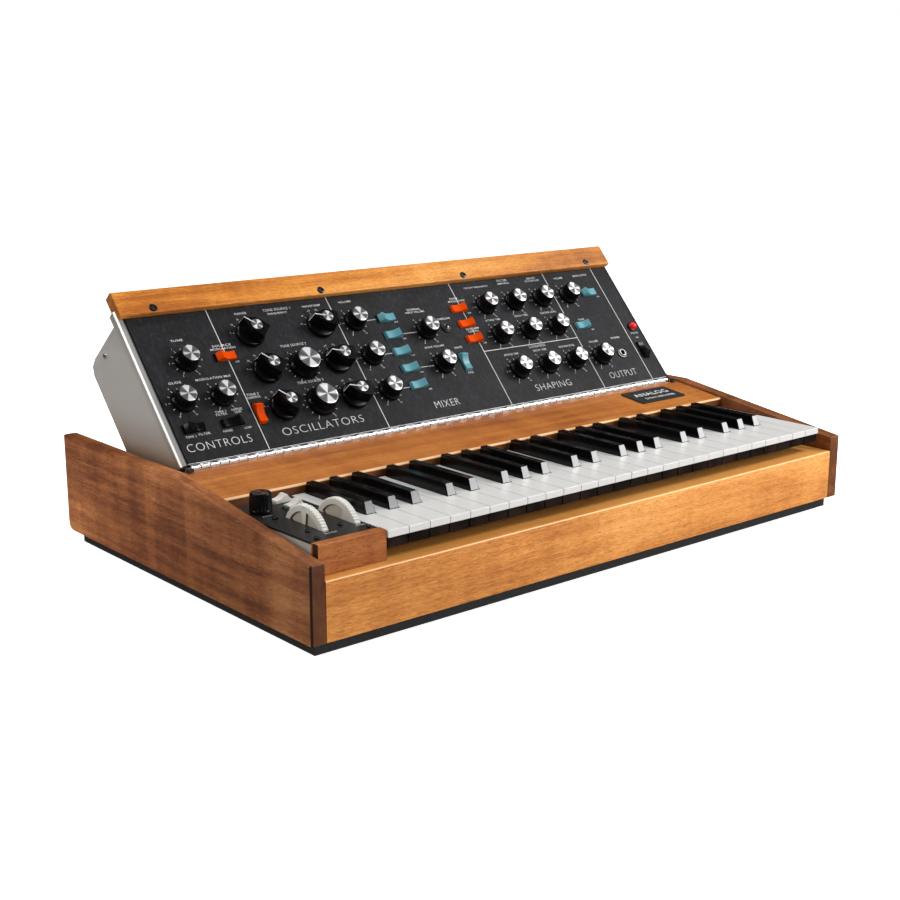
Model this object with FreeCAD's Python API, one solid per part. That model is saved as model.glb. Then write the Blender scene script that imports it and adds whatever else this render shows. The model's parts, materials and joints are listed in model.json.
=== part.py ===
import FreeCAD, Part
import math, os

# Keyboard synthesizer with a tilting control panel, panel raised. Millimetres, +Z up.
# Working frame: x from the outer face of the left cheek, y from the cheek fronts to the rear,
# z from the underside of the base pan. write() moves each part so that the origin is the
# centre of the footprint at floor level.

V = FreeCAD.Vector
ORIGIN = V(0, 0, 0)
X_AXIS, Y_AXIS, Z_AXIS = V(1, 0, 0), V(0, 1, 0), V(0, 0, 1)

WIDTH, DEPTH = 726.0, 441.5
FOOT_HEIGHT = 4.0
TO_FLOOR_CENTRE = V(-WIDTH / 2.0, -DEPTH / 2.0, FOOT_HEIGHT)

# Fits shared by several mechanisms
SHAFT_RADIUS, SHAFT_BORE = 3.0, 3.05    # control shafts and wheel axles
PIN_RADIUS, PIN_BORE = 1.5, 1.55        # pivots of the rockers and the prop stand

# Edge selection
TOL = 0.01
LONG = 600      # only edges along the width of the instrument are longer


# ---------------------------------------------------------------- helpers
def block(x0, x1, y0, y1, z0, z1):
    return Part.makeBox(x1 - x0, y1 - y0, z1 - z0, V(x0, y0, z0))


def rod(radius, length, start, axis=Z_AXIS):
    return Part.makeCylinder(radius, length, start, axis)


def polygon(points):
    return Part.makePolygon(points + [points[0]])


def prism_x(points, x0, x1):
    """Polygon of (y, z) points, extruded along x."""
    outline = polygon([V(x0, y, z) for y, z in points])
    return Part.Face(outline).extrude(V(x1 - x0, 0, 0))


def prism_z(points, z0, z1):
    """Polygon of (x, y) points, extruded along z."""
    outline = polygon([V(x, y, z0) for x, y in points])
    return Part.Face(outline).extrude(V(0, 0, z1 - z0))


def revolve(points, centre=ORIGIN):
    """Profile of (radius, z) points, turned about the vertical through centre."""
    outline = polygon([V(centre.x + r, centre.y, centre.z + z) for r, z in points])
    return Part.Face(outline).revolve(centre, Z_AXIS, 360)


def cut_all(solid, cutters):
    return solid.cut(Part.makeCompound(cutters))


def edges_where(solid, test):
    """Edges whose bounding box passes the test."""
    return [edge for edge in solid.Edges if test(edge.BoundBox)]


def fillet(solid, radius, test):
    return solid.makeFillet(radius, edges_where(solid, test))


def write(name, shapes):
    """Export one shape or a list of shapes as one STEP file."""
    shapes = shapes if isinstance(shapes, list) else [shapes]
    solids = [solid.copy() for shape in shapes for solid in shape.Solids]
    part = solids[0] if len(solids) == 1 else Part.makeCompound(solids)
    part.translate(TO_FLOOR_CENTRE)
    part.exportStep("parts/%s.step" % name)


# ---------------------------------------------------------------- cabinet
CHEEK_THICKNESS = 15.4
CHEEK_FRONT_TOP, CHEEK_KNEE_TOP, CHEEK_REAR_TOP = 82.9, 114.8, 114.0
CHEEK_KNEE_Y = 225.6
WOOD_BOTTOM = 12.3
JOINT_GAP = 0.3                 # between wooden pieces
INNER_LEFT = CHEEK_THICKNESS + JOINT_GAP
INNER_RIGHT = WIDTH - CHEEK_THICKNESS - JOINT_GAP

RAIL_FRONT, RAIL_REAR, RAIL_TOP = 0.3, 17.5, 66.6
LEDGE_REAR, LEDGE_THICKNESS = 40.0, 12.0    # ledge behind the front rail, below the keys
REAR_RAIL_TOP, REAR_RAIL_THICKNESS = 76.0, 15.5

FASCIA_FRONT, FASCIA_REAR = 158.4, 231.6
FASCIA_EDGE_Z, FASCIA_SLOPE = 102.25, 0.1379    # top at the front edge, rise per mm of y

PAN_INSET, PAN_REAR_INSET = 8.8, 14.0
PAN_REAR = DEPTH - PAN_REAR_INSET
PAN_SHEET, PAN_LIP = 1.5, 16


def fascia_top(y):
    return FASCIA_EDGE_Z + FASCIA_SLOPE * (y - FASCIA_FRONT)


def cheek(left):
    side = [(0, WOOD_BOTTOM), (0, CHEEK_FRONT_TOP), (CHEEK_KNEE_Y, CHEEK_KNEE_TOP),
            (DEPTH, CHEEK_REAR_TOP), (DEPTH, WOOD_BOTTOM)]
    board = prism_x(side, left, left + CHEEK_THICKNESS)
    # top edges, front upright edges, then the lower rear corner
    board = fillet(board, 2.2, lambda b: b.XLength < TOL and b.ZMin > CHEEK_FRONT_TOP - 1)
    board = fillet(board, 1.6, lambda b: b.YLength < TOL and abs(b.YMin) < TOL
                   and b.XLength < TOL and b.ZLength > 50)
    return fillet(board, 9.0, lambda b: abs(b.YMin - DEPTH) < TOL
                  and abs(b.ZMin - WOOD_BOTTOM) < TOL and b.XLength > CHEEK_THICKNESS - 0.5)


def front_rail():
    rail = block(INNER_LEFT, INNER_RIGHT, RAIL_FRONT, RAIL_REAR, WOOD_BOTTOM, RAIL_TOP)
    ledge = block(KEYS_LEFT + 0.1, INNER_RIGHT, RAIL_REAR - 1.0, LEDGE_REAR,
                  RAIL_TOP - LEDGE_THICKNESS, RAIL_TOP)
    rail = rail.fuse(ledge).removeSplitter()
    return fillet(rail, 1.8, lambda b: b.XLength > LONG and b.ZMin > RAIL_TOP - 0.1 and b.YMax < 1)


def rear_rail():
    rail = block(INNER_LEFT, INNER_RIGHT, DEPTH - REAR_RAIL_THICKNESS, DEPTH,
                 WOOD_BOTTOM, REAR_RAIL_TOP)
    foot = block(INNER_LEFT, INNER_RIGHT, PAN_REAR - 6.0, DEPTH, WOOD_BOTTOM, WOOD_BOTTOM + 9.0)
    rail = rail.fuse(foot).removeSplitter()
    return fillet(rail, 1.8, lambda b: b.XLength > LONG and b.ZMin > REAR_RAIL_TOP - 0.1)


def fascia_board():
    """Sloping board between the keys and the panel."""
    side = [(FASCIA_FRONT, FASCIA_EDGE_Z - 9.2), (FASCIA_FRONT, FASCIA_EDGE_Z),
            (FASCIA_REAR, fascia_top(FASCIA_REAR)), (FASCIA_REAR, 94.0),
            (FASCIA_FRONT + 6, 93.2)]
    board = prism_x(side, INNER_LEFT, INNER_RIGHT)
    return fillet(board, 3.2, lambda b: b.XLength > LONG and abs(b.YMin - FASCIA_FRONT) < TOL
                  and b.ZMin > FASCIA_EDGE_Z - 0.1)


def corner_block():
    """Wooden block in front of the hand controllers."""
    top = 94.9
    wood = block(16.0, 88.2, 11.8, 21.4, RAIL_TOP + 0.1, top)
    return fillet(wood, 1.0, lambda b: b.ZMin > top - 0.1)


def pan_block(inset, z0, z1):
    """Block over the pan's outline, drawn in by inset on all four sides."""
    return block(PAN_INSET + inset, WIDTH - PAN_INSET - inset,
                 PAN_INSET + inset, PAN_REAR - inset, z0, z1)


def base_pan():
    """Tray of folded sheet with an inward lip and a row of slots."""
    tray = pan_block(0, 0, WOOD_BOTTOM).cut(pan_block(PAN_SHEET, PAN_SHEET, WOOD_BOTTOM + 1))
    lip = pan_block(0, WOOD_BOTTOM - PAN_SHEET, WOOD_BOTTOM).cut(
        pan_block(PAN_LIP, WOOD_BOTTOM - 2, WOOD_BOTTOM + 1))
    tray = tray.fuse(lip).removeSplitter()
    return cut_all(tray, [block(150 + 40 * i, 178 + 40 * i, 250, 254, -1, 3) for i in range(11)])


# ---------------------------------------------------------------- panel frame
# Panel frame: x as before, v (its y) up the face, d (its z) out of the face.
# Panel parts are modelled here and then set in place by panel().
PANEL_TILT = 48.14                      # degrees
PANEL_EDGE_Y, PANEL_EDGE_Z = 236.4, 117.3   # lower front edge of the face


def panel(solid):
    """From the panel frame to the working frame."""
    solid = solid.copy()
    solid.rotate(ORIGIN, X_AXIS, PANEL_TILT)
    solid.translate(V(0, PANEL_EDGE_Y, PANEL_EDGE_Z))
    return solid


def panel_point(v, d):
    """Working-frame point, at x = 0, of a panel-frame place."""
    cosine, sine = math.cos(math.radians(PANEL_TILT)), math.sin(math.radians(PANEL_TILT))
    return V(0, PANEL_EDGE_Y + v * cosine - d * sine, PANEL_EDGE_Z + v * sine + d * cosine)


def seat(solid, x, v, turn=0):
    """Turn a control about its own axis and move it to its place in the panel frame."""
    solid.rotate(ORIGIN, Z_AXIS, turn)
    solid.translate(V(x, v, 0))
    return solid


# ---------------------------------------------------------------- hinge
HINGE_V, HINGE_D = -3.2, -1.0           # axis in the panel frame
HINGE_LEFT, HINGE_RIGHT = 28.0, 698.0
KNUCKLE_RADIUS, KNUCKLE_LENGTH = 3.0, 10.4
KNUCKLE_COUNT = int((HINGE_RIGHT - HINGE_LEFT) // KNUCKLE_LENGTH) + 1
HINGE_PIN_RADIUS, HINGE_BORE = 1.25, 1.30
HINGE_AXIS = panel_point(HINGE_V, HINGE_D)


def hinge_leaf(axis_y, axis_z, bar_y, bar_height, first_cut):
    """Bar 1 mm thick hanging from the axis; every second knuckle is cut away."""
    start = V(HINGE_LEFT, axis_y, axis_z)
    length = HINGE_RIGHT - HINGE_LEFT
    bar = block(HINGE_LEFT, HINGE_RIGHT, bar_y, bar_y + 1.0, axis_z - bar_height, axis_z)
    leaf = bar.fuse(rod(KNUCKLE_RADIUS, length, start, X_AXIS))
    cutters = [rod(HINGE_BORE, length + 2, start - X_AXIS, X_AXIS)]
    reach = KNUCKLE_RADIUS + 0.3
    for i in range(first_cut, KNUCKLE_COUNT, 2):
        x0 = HINGE_LEFT + i * KNUCKLE_LENGTH - 0.12
        x1 = min(x0 + KNUCKLE_LENGTH + 0.24, HINGE_RIGHT + 1)
        cutters.append(block(x0, x1, axis_y - reach, axis_y + reach,
                             axis_z - reach - 0.05, axis_z + reach))
    return cut_all(leaf, cutters).removeSplitter()


def hinge_panel_leaf():
    return panel(hinge_leaf(HINGE_V, HINGE_D, bar_y=HINGE_V + KNUCKLE_RADIUS - 1.0,
                            bar_height=27.0, first_cut=0))


def hinge_base_leaf():
    return hinge_leaf(HINGE_AXIS.y, HINGE_AXIS.z, bar_y=HINGE_AXIS.y - KNUCKLE_RADIUS,
                      bar_height=26.0, first_cut=1)


# ---------------------------------------------------------------- prop stand
PROP_V, PROP_D = 120.0, -88.5           # pivot in the panel frame
PROP_LENGTH, PROP_ANGLE = 147.0, -116.0     # angle in degrees from +y towards +z
PROP_XS = (263.0, 463.0)                # centres of the two legs
PROP_HALF = 6.0                         # half width of a leg
PROP_FOOT_RADIUS = 4.0
PROP_PIVOT = panel_point(PROP_V, PROP_D)
RAMP_ANGLE = math.radians(25.0)


def prop_stand():
    """Two legs joined by a cross rod at their lower ends."""
    legs = []
    for x in PROP_XS:
        leg = block(x - PROP_HALF, x + PROP_HALF, 0, PROP_LENGTH, -2.0, 2.0)
        leg = leg.fuse(rod(2.6, 2 * PROP_HALF, V(x - PROP_HALF, 0, 0), X_AXIS))
        legs.append(leg.fuse(rod(PIN_RADIUS, 18.0, V(x - 9.0, 0, 0), X_AXIS)))
    cross_rod = rod(PROP_FOOT_RADIUS, PROP_XS[1] - PROP_XS[0] + 20,
                    V(PROP_XS[0] - 10, PROP_LENGTH, 0), X_AXIS)
    stand = legs[0].fuse(legs[1]).fuse(cross_rod).removeSplitter()
    stand.rotate(ORIGIN, X_AXIS, PROP_ANGLE)
    stand.translate(PROP_PIVOT)
    return stand


def prop_ramps():
    """Ramps with a rear stop that carry the foot of the prop stand."""
    angle = math.radians(PROP_ANGLE)
    offset = PROP_FOOT_RADIUS + 0.2     # from the cross rod's centre to the ramp
    slope = math.tan(RAMP_ANGLE)
    contact_y = PROP_PIVOT.y + PROP_LENGTH * math.cos(angle) + offset * math.sin(RAMP_ANGLE)
    contact_z = PROP_PIVOT.z + PROP_LENGTH * math.sin(angle) - offset * math.cos(RAMP_ANGLE)
    bottom, front_top = 1.55, 3.2
    front = contact_y - (contact_z - front_top) / slope
    rear = contact_y + 15.0
    rear_top = contact_z + slope * 15.0
    side = [(front, bottom), (rear + 8, bottom), (rear + 8, rear_top + 5.0),
            (rear, rear_top + 5.0), (rear, rear_top), (front, front_top)]
    return [prism_x(side, x - 14, x + 14) for x in PROP_XS]


def prop_brackets():
    """Pairs of lugs on the back of the housing, in the panel frame."""
    side = [(PROP_V - 4.2, -HOUSING_DEPTH), (PROP_V - 4.2, PROP_D - 1.0),
            (PROP_V - 1.6, PROP_D - 3.6), (PROP_V + 1.6, PROP_D - 3.6),
            (PROP_V + 4.2, PROP_D - 1.0), (PROP_V + 4.2, -HOUSING_DEPTH)]
    gap, thickness = 0.6, 2.0
    lugs = []
    for x in PROP_XS:
        for left in (x - PROP_HALF - gap - thickness, x + PROP_HALF + gap):
            bore = rod(PIN_BORE, 4, V(left - 1, PROP_V, PROP_D), X_AXIS)
            lugs.append(prism_x(side, left, left + thickness).cut(bore))
    return lugs


# ---------------------------------------------------------------- base hardware
PLATE_Y = 183.0                         # front edge of the nameplate


def nameplate():
    """Plate lying on the sloping fascia."""
    plate = prism_z([(599.0, 0), (673.5, 0), (673.5, 36.2), (599.0, 36.2)], 0.05, 1.6)
    plate = fillet(plate, 2.0, lambda b: b.ZLength > 1)
    plate.rotate(ORIGIN, X_AXIS, math.degrees(math.atan(FASCIA_SLOPE)))
    plate.translate(V(0, PLATE_Y, fascia_top(PLATE_Y)))
    return plate


def base_hardware():
    pin = rod(HINGE_PIN_RADIUS, HINGE_RIGHT - HINGE_LEFT,
              V(HINGE_LEFT, HINGE_AXIS.y, HINGE_AXIS.z), X_AXIS)
    top = fascia_top(FASCIA_REAR)
    end_blocks = [block(x, x + 6.0, 226.0, FASCIA_REAR, top + 0.05, top + 3.4)
                  for x in (21.0, WIDTH - 27.0)]
    feet = [Part.makeCone(10.0, 11.5, FOOT_HEIGHT, V(x, y, -FOOT_HEIGHT))
            for x in (70, WIDTH - 70) for y in (60, DEPTH - 80)]
    pan_screws = [rod(3.4, 1.6, V(x, y, -1.6))
                  for x in (30, WIDTH / 2.0, WIDTH - 30) for y in (22, PAN_REAR - 10)]
    return ([hinge_base_leaf(), pin] + end_blocks + feet + pan_screws + [nameplate()]
            + prop_ramps())


# ---------------------------------------------------------------- panel controls
# Round knob radii, from the panel outwards, and height
SMALL = dict(skirt=12.3, base=10.0, crown=9.2, cap=8.2, height=16.5)
LARGE = dict(skirt=16.2, base=13.6, crown=12.7, cap=10.9, height=17.5)

# Round knobs: name, x, v, size
KNOBS = [
    ("tune_knob", 71.7, 111.4, SMALL),
    ("glide_knob", 49.6, 67.6, SMALL),
    ("modulation_mix_knob", 93.1, 67.0, SMALL),
    ("osc2_frequency_knob", 200.3, 87.7, LARGE),
    ("osc3_frequency_knob", 200.3, 43.1, LARGE),
    ("osc1_volume_knob", 288.8, 132.8, SMALL),
    ("osc2_volume_knob", 288.8, 87.7, SMALL),
    ("osc3_volume_knob", 288.8, 43.1, SMALL),
    ("external_volume_knob", 376.6, 110.0, SMALL),
    ("noise_volume_knob", 376.6, 64.9, SMALL),
    ("cutoff_knob", 478.2, 132.4, SMALL),
    ("emphasis_knob", 523.2, 132.4, SMALL),
    ("contour_amount_knob", 568.0, 132.4, SMALL),
    ("filter_attack_knob", 478.2, 91.0, SMALL),
    ("filter_decay_knob", 523.2, 91.0, SMALL),
    ("filter_sustain_knob", 568.0, 91.0, SMALL),
    ("loudness_attack_knob", 478.2, 42.9, SMALL),
    ("loudness_decay_knob", 523.2, 42.9, SMALL),
    ("loudness_sustain_knob", 568.0, 42.9, SMALL),
    ("main_volume_knob", 612.8, 132.4, SMALL),
    ("phones_volume_knob", 612.3, 42.9, SMALL),
]
# Pointer knobs: name, x, v, direction of the nose in degrees from +x
SELECTORS = [
    ("osc1_range_selector", 155.3, 132.6, 135.0),
    ("osc2_range_selector", 155.3, 88.0, 135.0),
    ("osc3_range_selector", 155.3, 43.5, 135.0),
    ("osc1_waveform_selector", 243.6, 132.8, 163.0),
    ("osc2_waveform_selector", 243.6, 87.7, 163.0),
    ("osc3_waveform_selector", 243.6, 43.3, 163.0),
]
# x, v and radius of the potentiometer or rotary switch behind each knob
SHAFT_CONTROLS = ([(x, v, 8.4) for _, x, v, _ in KNOBS]
                  + [(x, v, 12.0) for _, x, v, _ in SELECTORS])

# Rockers: name, (x, v) places, turn of the long side from x, tilt about the pivot in degrees
LEVEL, UPRIGHT = 0, 90
ROCKERS = [
    ("osc_modulation_rocker", [(116.3, 110.8)], LEVEL, 14.0),
    ("mod_source_left_rocker", [(48.6, 37.2)], LEVEL, 14.0),
    ("mod_source_right_rocker", [(92.4, 36.8)], LEVEL, -14.0),
    ("osc3_control_rocker", [(125.6, 42.2)], UPRIGHT, -14.0),
    ("mixer_osc1_rocker", [(331.3, 132.4)], LEVEL, 14.0),
    ("mixer_rockers", [(331.3, 110.2), (331.3, 88.0), (331.3, 66.1), (331.3, 44.2)],
     LEVEL, -14.0),
    ("noise_type_rocker", [(407.6, 64.5)], UPRIGHT, -14.0),
    ("filter_rockers", [(438.5, 132.7), (438.5, 111.8), (438.5, 90.9)], LEVEL, -14.0),
    ("main_output_rocker", [(648.1, 133.0)], LEVEL, 14.0),
    ("tuning_tone_rocker", [(611.5, 88.3)], LEVEL, -14.0),
    ("power_rocker", [(685.8, 42.2)], UPRIGHT, 14.0),
]
ROCKER_PLACES = [(x, v, turn) for _, places, turn, _ in ROCKERS for x, v in places]
ROCKER_HALF, ROCKER_WIDTH = 11.9, 8.8   # half length and width
ROCKER_PIVOT = -5.2                     # d of the pivot
# Left half of the dished top: distance from the middle, height
SADDLE = [(8.6, 5.9), (6.6, 4.85), (4.8, 4.15), (3.0, 3.65), (1.4, 3.4)]

# Other fittings in the face (lamp, LED, jack): x, v, hole radius, (radius, d) profile
FITTINGS = [
    (688.8, 76.2, 4.6, [(0, -8), (4.5, -8), (4.5, 0.0), (6.0, 0.1), (6.0, 1.2), (4.4, 2.2),
                        (4.0, 4.2), (2.6, 5.8), (0, 6.4)]),
    (406.6, 110.4, 5.0, [(0, -8), (4.9, -8), (4.9, 0.0), (6.3, 0.1), (6.3, 1.4), (4.6, 1.9),
                         (4.0, 3.2), (0, 4.0)]),
    (648.5, 42.2, 5.0, [(3.3, -12), (4.9, -12), (4.9, 0.1), (6.2, 0.1), (6.2, 1.6),
                        (4.2, 2.4), (3.3, 2.4)]),
]


def knob_shaft():
    return rod(SHAFT_RADIUS, 11.0, V(0, 0, -9.9))


def round_knob(skirt, base, crown, cap, height):
    knob = revolve([(0, 1.0), (skirt - 0.4, 1.0), (skirt, 1.4), (skirt, 2.8), (base + 0.9, 4.2),
                    (base, 5.4), (crown, height - 1.4), (crown - 0.8, height - 0.5),
                    (cap + 0.1, height - 0.5), (cap, height), (0, height)])
    knob = knob.fuse(knob_shaft())
    mark = block(-0.6, 0.6, base - 0.4, skirt - 0.4, 2.6, 5.0)
    return knob.fuse(mark).removeSplitter()


def selector_knob():
    """Round skirt with an arrow-shaped grip, nose along +x, and a round cap."""
    skirt = revolve([(0, 1.0), (15.2, 1.0), (15.6, 1.5), (15.6, 4.4), (14.6, 6.0), (0, 6.0)])
    arrow = [(15.4, -0.9), (15.4, 0.9), (3.5, 9.2), (-12.4, 9.2),
             (-13.4, 8.0), (-13.4, -8.0), (-12.4, -9.2), (3.5, -9.2)]
    grip_top = 19.8
    grip = prism_z(arrow, 5.8, grip_top)
    grip = grip.makeChamfer(0.8, edges_where(grip, lambda b: b.ZMin > grip_top - 0.1))
    cap = revolve([(0, 19.0), (6.1, 19.0), (6.1, 20.2), (5.8, 20.5), (0, 20.5)])
    return skirt.fuse(grip).fuse(cap).fuse(knob_shaft()).removeSplitter()


def rocker(half, width, shoulder, crown, pivot, pin_length, tilt):
    """Tilted rocker, long side along x, pivot along y.

    shoulder is the height of the two ends, crown the left half of the top as
    (distance from the middle, height).
    """
    outline = [(-half, shoulder)] + [(-x, z) for x, z in crown]
    outline += [(x, z) for x, z in reversed(crown)]
    outline += [(half, shoulder), (5.5, -8.2), (-5.5, -8.2)]
    wire = polygon([V(x, -width / 2.0, z) for x, z in outline])
    body = Part.Face(wire).extrude(V(0, width, 0))
    pin = rod(PIN_RADIUS, pin_length, V(0, -pin_length / 2.0, pivot), Y_AXIS)
    body = body.fuse(pin).removeSplitter()
    body.rotate(V(0, 0, pivot), Y_AXIS, tilt)
    return body


def panel_rocker(x, v, turn, tilt):
    body = rocker(ROCKER_HALF, ROCKER_WIDTH, shoulder=-0.6, crown=SADDLE, pivot=ROCKER_PIVOT,
                  pin_length=ROCKER_WIDTH + 6.0, tilt=tilt)
    return panel(seat(body, x, v, turn))


# ---------------------------------------------------------------- panel body
FACE_LEFT, FACE_RIGHT, FACE_HEIGHT, FACE_THICKNESS = 26.7, 699.3, 178.0, 2.0
HOUSING_LEFT, HOUSING_RIGHT, HOUSING_TOP = 19.5, 706.5, 179.0
HOUSING_DEPTH, HOUSING_SHEET = 84.0, 1.5
TRIM_LEFT, TRIM_RIGHT, TRIM_FRONT = 20.6, 705.4, 6.3    # TRIM_FRONT is a d
TRIM_LOW, TRIM_HIGH = 168.3, 196.5                      # v
TRIM_SCREWS = [(58.9, 173.6), (261.6, 173.6), (464.3, 173.6), (667.0, 173.6)]


def panel_face():
    cutters = [rod(SHAFT_BORE, 8, V(x, v, -5)) for x, v, _ in SHAFT_CONTROLS]
    for x, v, turn in ROCKER_PLACES:
        half_x, half_v = ROCKER_HALF + 1.6, ROCKER_WIDTH / 2 + 0.55
        if turn == UPRIGHT:
            half_x, half_v = half_v, half_x
        cutters.append(block(x - half_x, x + half_x, v - half_v, v + half_v, -5, 1))
    cutters += [rod(radius, 8, V(x, v, -5)) for x, v, radius, _ in FITTINGS]
    face = block(FACE_LEFT, FACE_RIGHT, 0.0, FACE_HEIGHT, -FACE_THICKNESS, 0.0)
    face = cut_all(face, cutters)
    face = fillet(face, 0.5, lambda b: b.ZLength < TOL and b.ZMax > -TOL
                  and (b.XLength > LONG or b.YLength > 170))
    return panel(face)


def panel_housing():
    """Folded sheet box, open in front behind the face plate."""
    back = -HOUSING_DEPTH
    inner_left, inner_right = HOUSING_LEFT + HOUSING_SHEET, HOUSING_RIGHT - HOUSING_SHEET
    # (v, d) outlines
    outer = prism_x([(0.0, -0.4), (0.0, back), (157.5, back), (166.0, -79.5), (168.5, -69.0),
                     (167.2, -11.5), (HOUSING_TOP, -11.5), (HOUSING_TOP, -0.4)],
                    HOUSING_LEFT, HOUSING_RIGHT)
    outer = fillet(outer, 5.5, lambda b: b.ZLength < TOL and b.YLength > 170 and b.ZMax > -0.5)
    inner = prism_x([(HOUSING_SHEET, 5), (HOUSING_SHEET, back + HOUSING_SHEET),
                     (157.0, back + HOUSING_SHEET), (164.7, -78.9), (167.0, -69.0),
                     (165.7, -13.1), (165.7, 5)], inner_left, inner_right)
    # keep a flange on each side behind the face plate
    inner = cut_all(inner, [block(x0, x1, HOUSING_SHEET, 165.7, -3.55, 0.5) for x0, x1 in
                            ((inner_left, HOUSING_LEFT + 10.0),
                             (HOUSING_RIGHT - 10.0, inner_right))])
    face_seat = block(FACE_LEFT - 0.15, FACE_RIGHT + 0.15, -1, 185, -2.05, 3)
    housing = outer.cut(inner).cut(face_seat)
    openings = [block(x, x + 60, 60 + 8 * j, 63 + 8 * j, back - 1, back + 3)
                for x in (120, 546) for j in range(6)]
    openings += [rod(3.3, 4, V(x, 140, back - 1)) for x in (330, 350, 370, 390)]
    return panel(cut_all(housing, openings).removeSplitter())


def panel_trim_wood():
    """Wooden strip along the upper edge of the panel, lapping over the housing."""
    behind = HOUSING_TOP + 0.3
    strip = prism_x([(TRIM_LOW, 0.1), (TRIM_LOW, TRIM_FRONT), (TRIM_HIGH, TRIM_FRONT),
                     (TRIM_HIGH, -6.6), (behind, -6.6), (behind, 0.1)], TRIM_LEFT, TRIM_RIGHT)
    strip = fillet(strip, 1.6, lambda b: b.XLength > LONG and b.ZMin > TRIM_FRONT - 0.1)
    return panel(cut_all(strip, [Part.makeCone(2.2, 4.2, 2.2, V(x, v, TRIM_FRONT - 2.15))
                                 for x, v in TRIM_SCREWS]))


def switch_frame():
    """Open box with pivot bores that carries a panel rocker."""
    half_x, half_y = ROCKER_HALF + 2.8, ROCKER_WIDTH / 2 + 3.2
    inner_x, inner_y = half_x - 1.2, ROCKER_WIDTH / 2 + 0.5
    frame = block(-half_x, half_x, -half_y, half_y, -16.0, -2.15)
    frame = frame.cut(block(-inner_x, inner_x, -inner_y, inner_y, -14.5, 0))
    return frame.cut(rod(PIN_BORE, 2 * half_y + 2, V(0, -half_y - 1, ROCKER_PIVOT), Y_AXIS))


def panel_hardware():
    circuit_board = block(52, 674, 10, 160, -27.5, -26.0)
    stand_offs = [rod(2.6, 23.8, V(x, v, -25.9))
                  for x, v in ((60, 18), (666, 18), (60, 152), (666, 152), (363, 152))]
    bodies = [rod(radius, 11.0, V(x, v, -13.2)).cut(rod(SHAFT_BORE, 9.5, V(x, v, -11.5)))
              for x, v, radius in SHAFT_CONTROLS]
    frames = [seat(switch_frame(), x, v, turn) for x, v, turn in ROCKER_PLACES]
    fittings = [revolve(profile, V(x, v, 0)) for x, v, _, profile in FITTINGS]
    back = -HOUSING_DEPTH
    transformer = block(560, 640, 60, 120, back + HOUSING_SHEET + 0.1, back + 42)
    trim_screws = [rod(2.0, 1.6, V(x, v, TRIM_FRONT - 2.1)) for x, v in TRIM_SCREWS]
    side_screws = [rod(2.6, 1.4, V(x, v, d), X_AXIS)
                   for v, d in ((157.6, -48.0), (40.0, -70.0))
                   for x in (HOUSING_LEFT - 1.4, HOUSING_RIGHT)]
    solids = ([circuit_board] + stand_offs + bodies + frames + fittings + [transformer]
              + trim_screws + side_screws + prop_brackets())
    return [panel(solid) for solid in solids]


# ---------------------------------------------------------------- hand controller
PLATE_LEFT, PLATE_RIGHT = 18.2, 87.4
PLATE_FRONT, PLATE_REAR = 22.0, 156.0
PLATE_BOTTOM, PLATE_TOP = 92.0, 94.0
PLATE_SCREWS = [(33.9, 101.3), (34.2, 51.4), (28.0, 29.4), (67.0, 49.3), (82.6, 29.2),
                (67.0, 101.3)]

WHEEL_Y, WHEEL_Z, WHEEL_RADIUS = 72.5, 78.0, 33.0   # axle place and radius
RIB_POINTS = 132                # rim points, alternately high and low
# Wheels: left and right faces, spans of the curved slots in degrees from the top
# towards the rear, left and right ends of the axle
WHEELS = {
    "pitch_wheel": (44.5, 50.7, [(14, 38), (-38, -14)], PLATE_LEFT + 0.2, 60.0),
    "mod_wheel": (79.0, 85.2, [(8, 44)], 68.0, PLATE_RIGHT - 0.2),
}

LFO_X, LFO_Y, LFO_RADIUS, LFO_BOTTOM, LFO_TOP = 35.5, 126.5, 10.4, 95.0, 113.2

HAND_X, HAND_YS = 70.0, (143.6, 121.6)      # centres of the two rockers
HAND_HALF, HAND_WIDTH, HAND_PIVOT_Z = 11.4, 9.4, 88.9
FACET_FOOT, FACET_TOP = 1.9, 7.7            # heights above the plate
# Left thumb facet: share of the half length, share of the rise
FACET = [(1.0, 0.0), (0.8, 0.045), (0.588, 0.156), (0.378, 0.40), (0.21, 0.733), (0.084, 1.0)]


def hand_rockers():
    """Rockers with two concave thumb facets that rise to a narrow flat."""
    crown = [(HAND_HALF * along, FACET_FOOT + (FACET_TOP - FACET_FOOT) * rise)
             for along, rise in FACET]
    bodies = []
    for y in HAND_YS:
        body = rocker(HAND_HALF, HAND_WIDTH, shoulder=0.5, crown=crown,
                      pivot=HAND_PIVOT_Z - PLATE_TOP, pin_length=HAND_WIDTH + 4.4, tilt=8.0)
        body.translate(V(HAND_X, y, PLATE_TOP))
        bodies.append(body)
    return bodies


def top_plate():
    chord = math.sqrt(WHEEL_RADIUS ** 2 - (PLATE_BOTTOM - WHEEL_Z) ** 2)
    half_slot = chord + 1.2
    z0, z1 = PLATE_BOTTOM - 1, PLATE_TOP + 1
    cutters = [block(left - 0.7, right + 0.7, WHEEL_Y - half_slot, WHEEL_Y + half_slot, z0, z1)
               for left, right, *_ in WHEELS.values()]
    half_y = HAND_WIDTH / 2 + 0.5
    cutters += [block(HAND_X - 12.9, HAND_X + 12.9, y - half_y, y + half_y, z0, z1)
                for y in HAND_YS]
    cutters.append(rod(SHAFT_BORE, 8, V(LFO_X, LFO_Y, PLATE_BOTTOM - 2)))
    plate = block(PLATE_LEFT, PLATE_RIGHT, PLATE_FRONT, PLATE_REAR, PLATE_BOTTOM, PLATE_TOP)
    plate = cut_all(plate, cutters)
    return fillet(plate, 0.6, lambda b: b.ZMin > PLATE_TOP - TOL
                  and (b.XLength > 60 or b.YLength > 120))


def axle_bore(x, length):
    return rod(SHAFT_BORE, length, V(x, WHEEL_Y, WHEEL_Z), X_AXIS)


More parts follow.
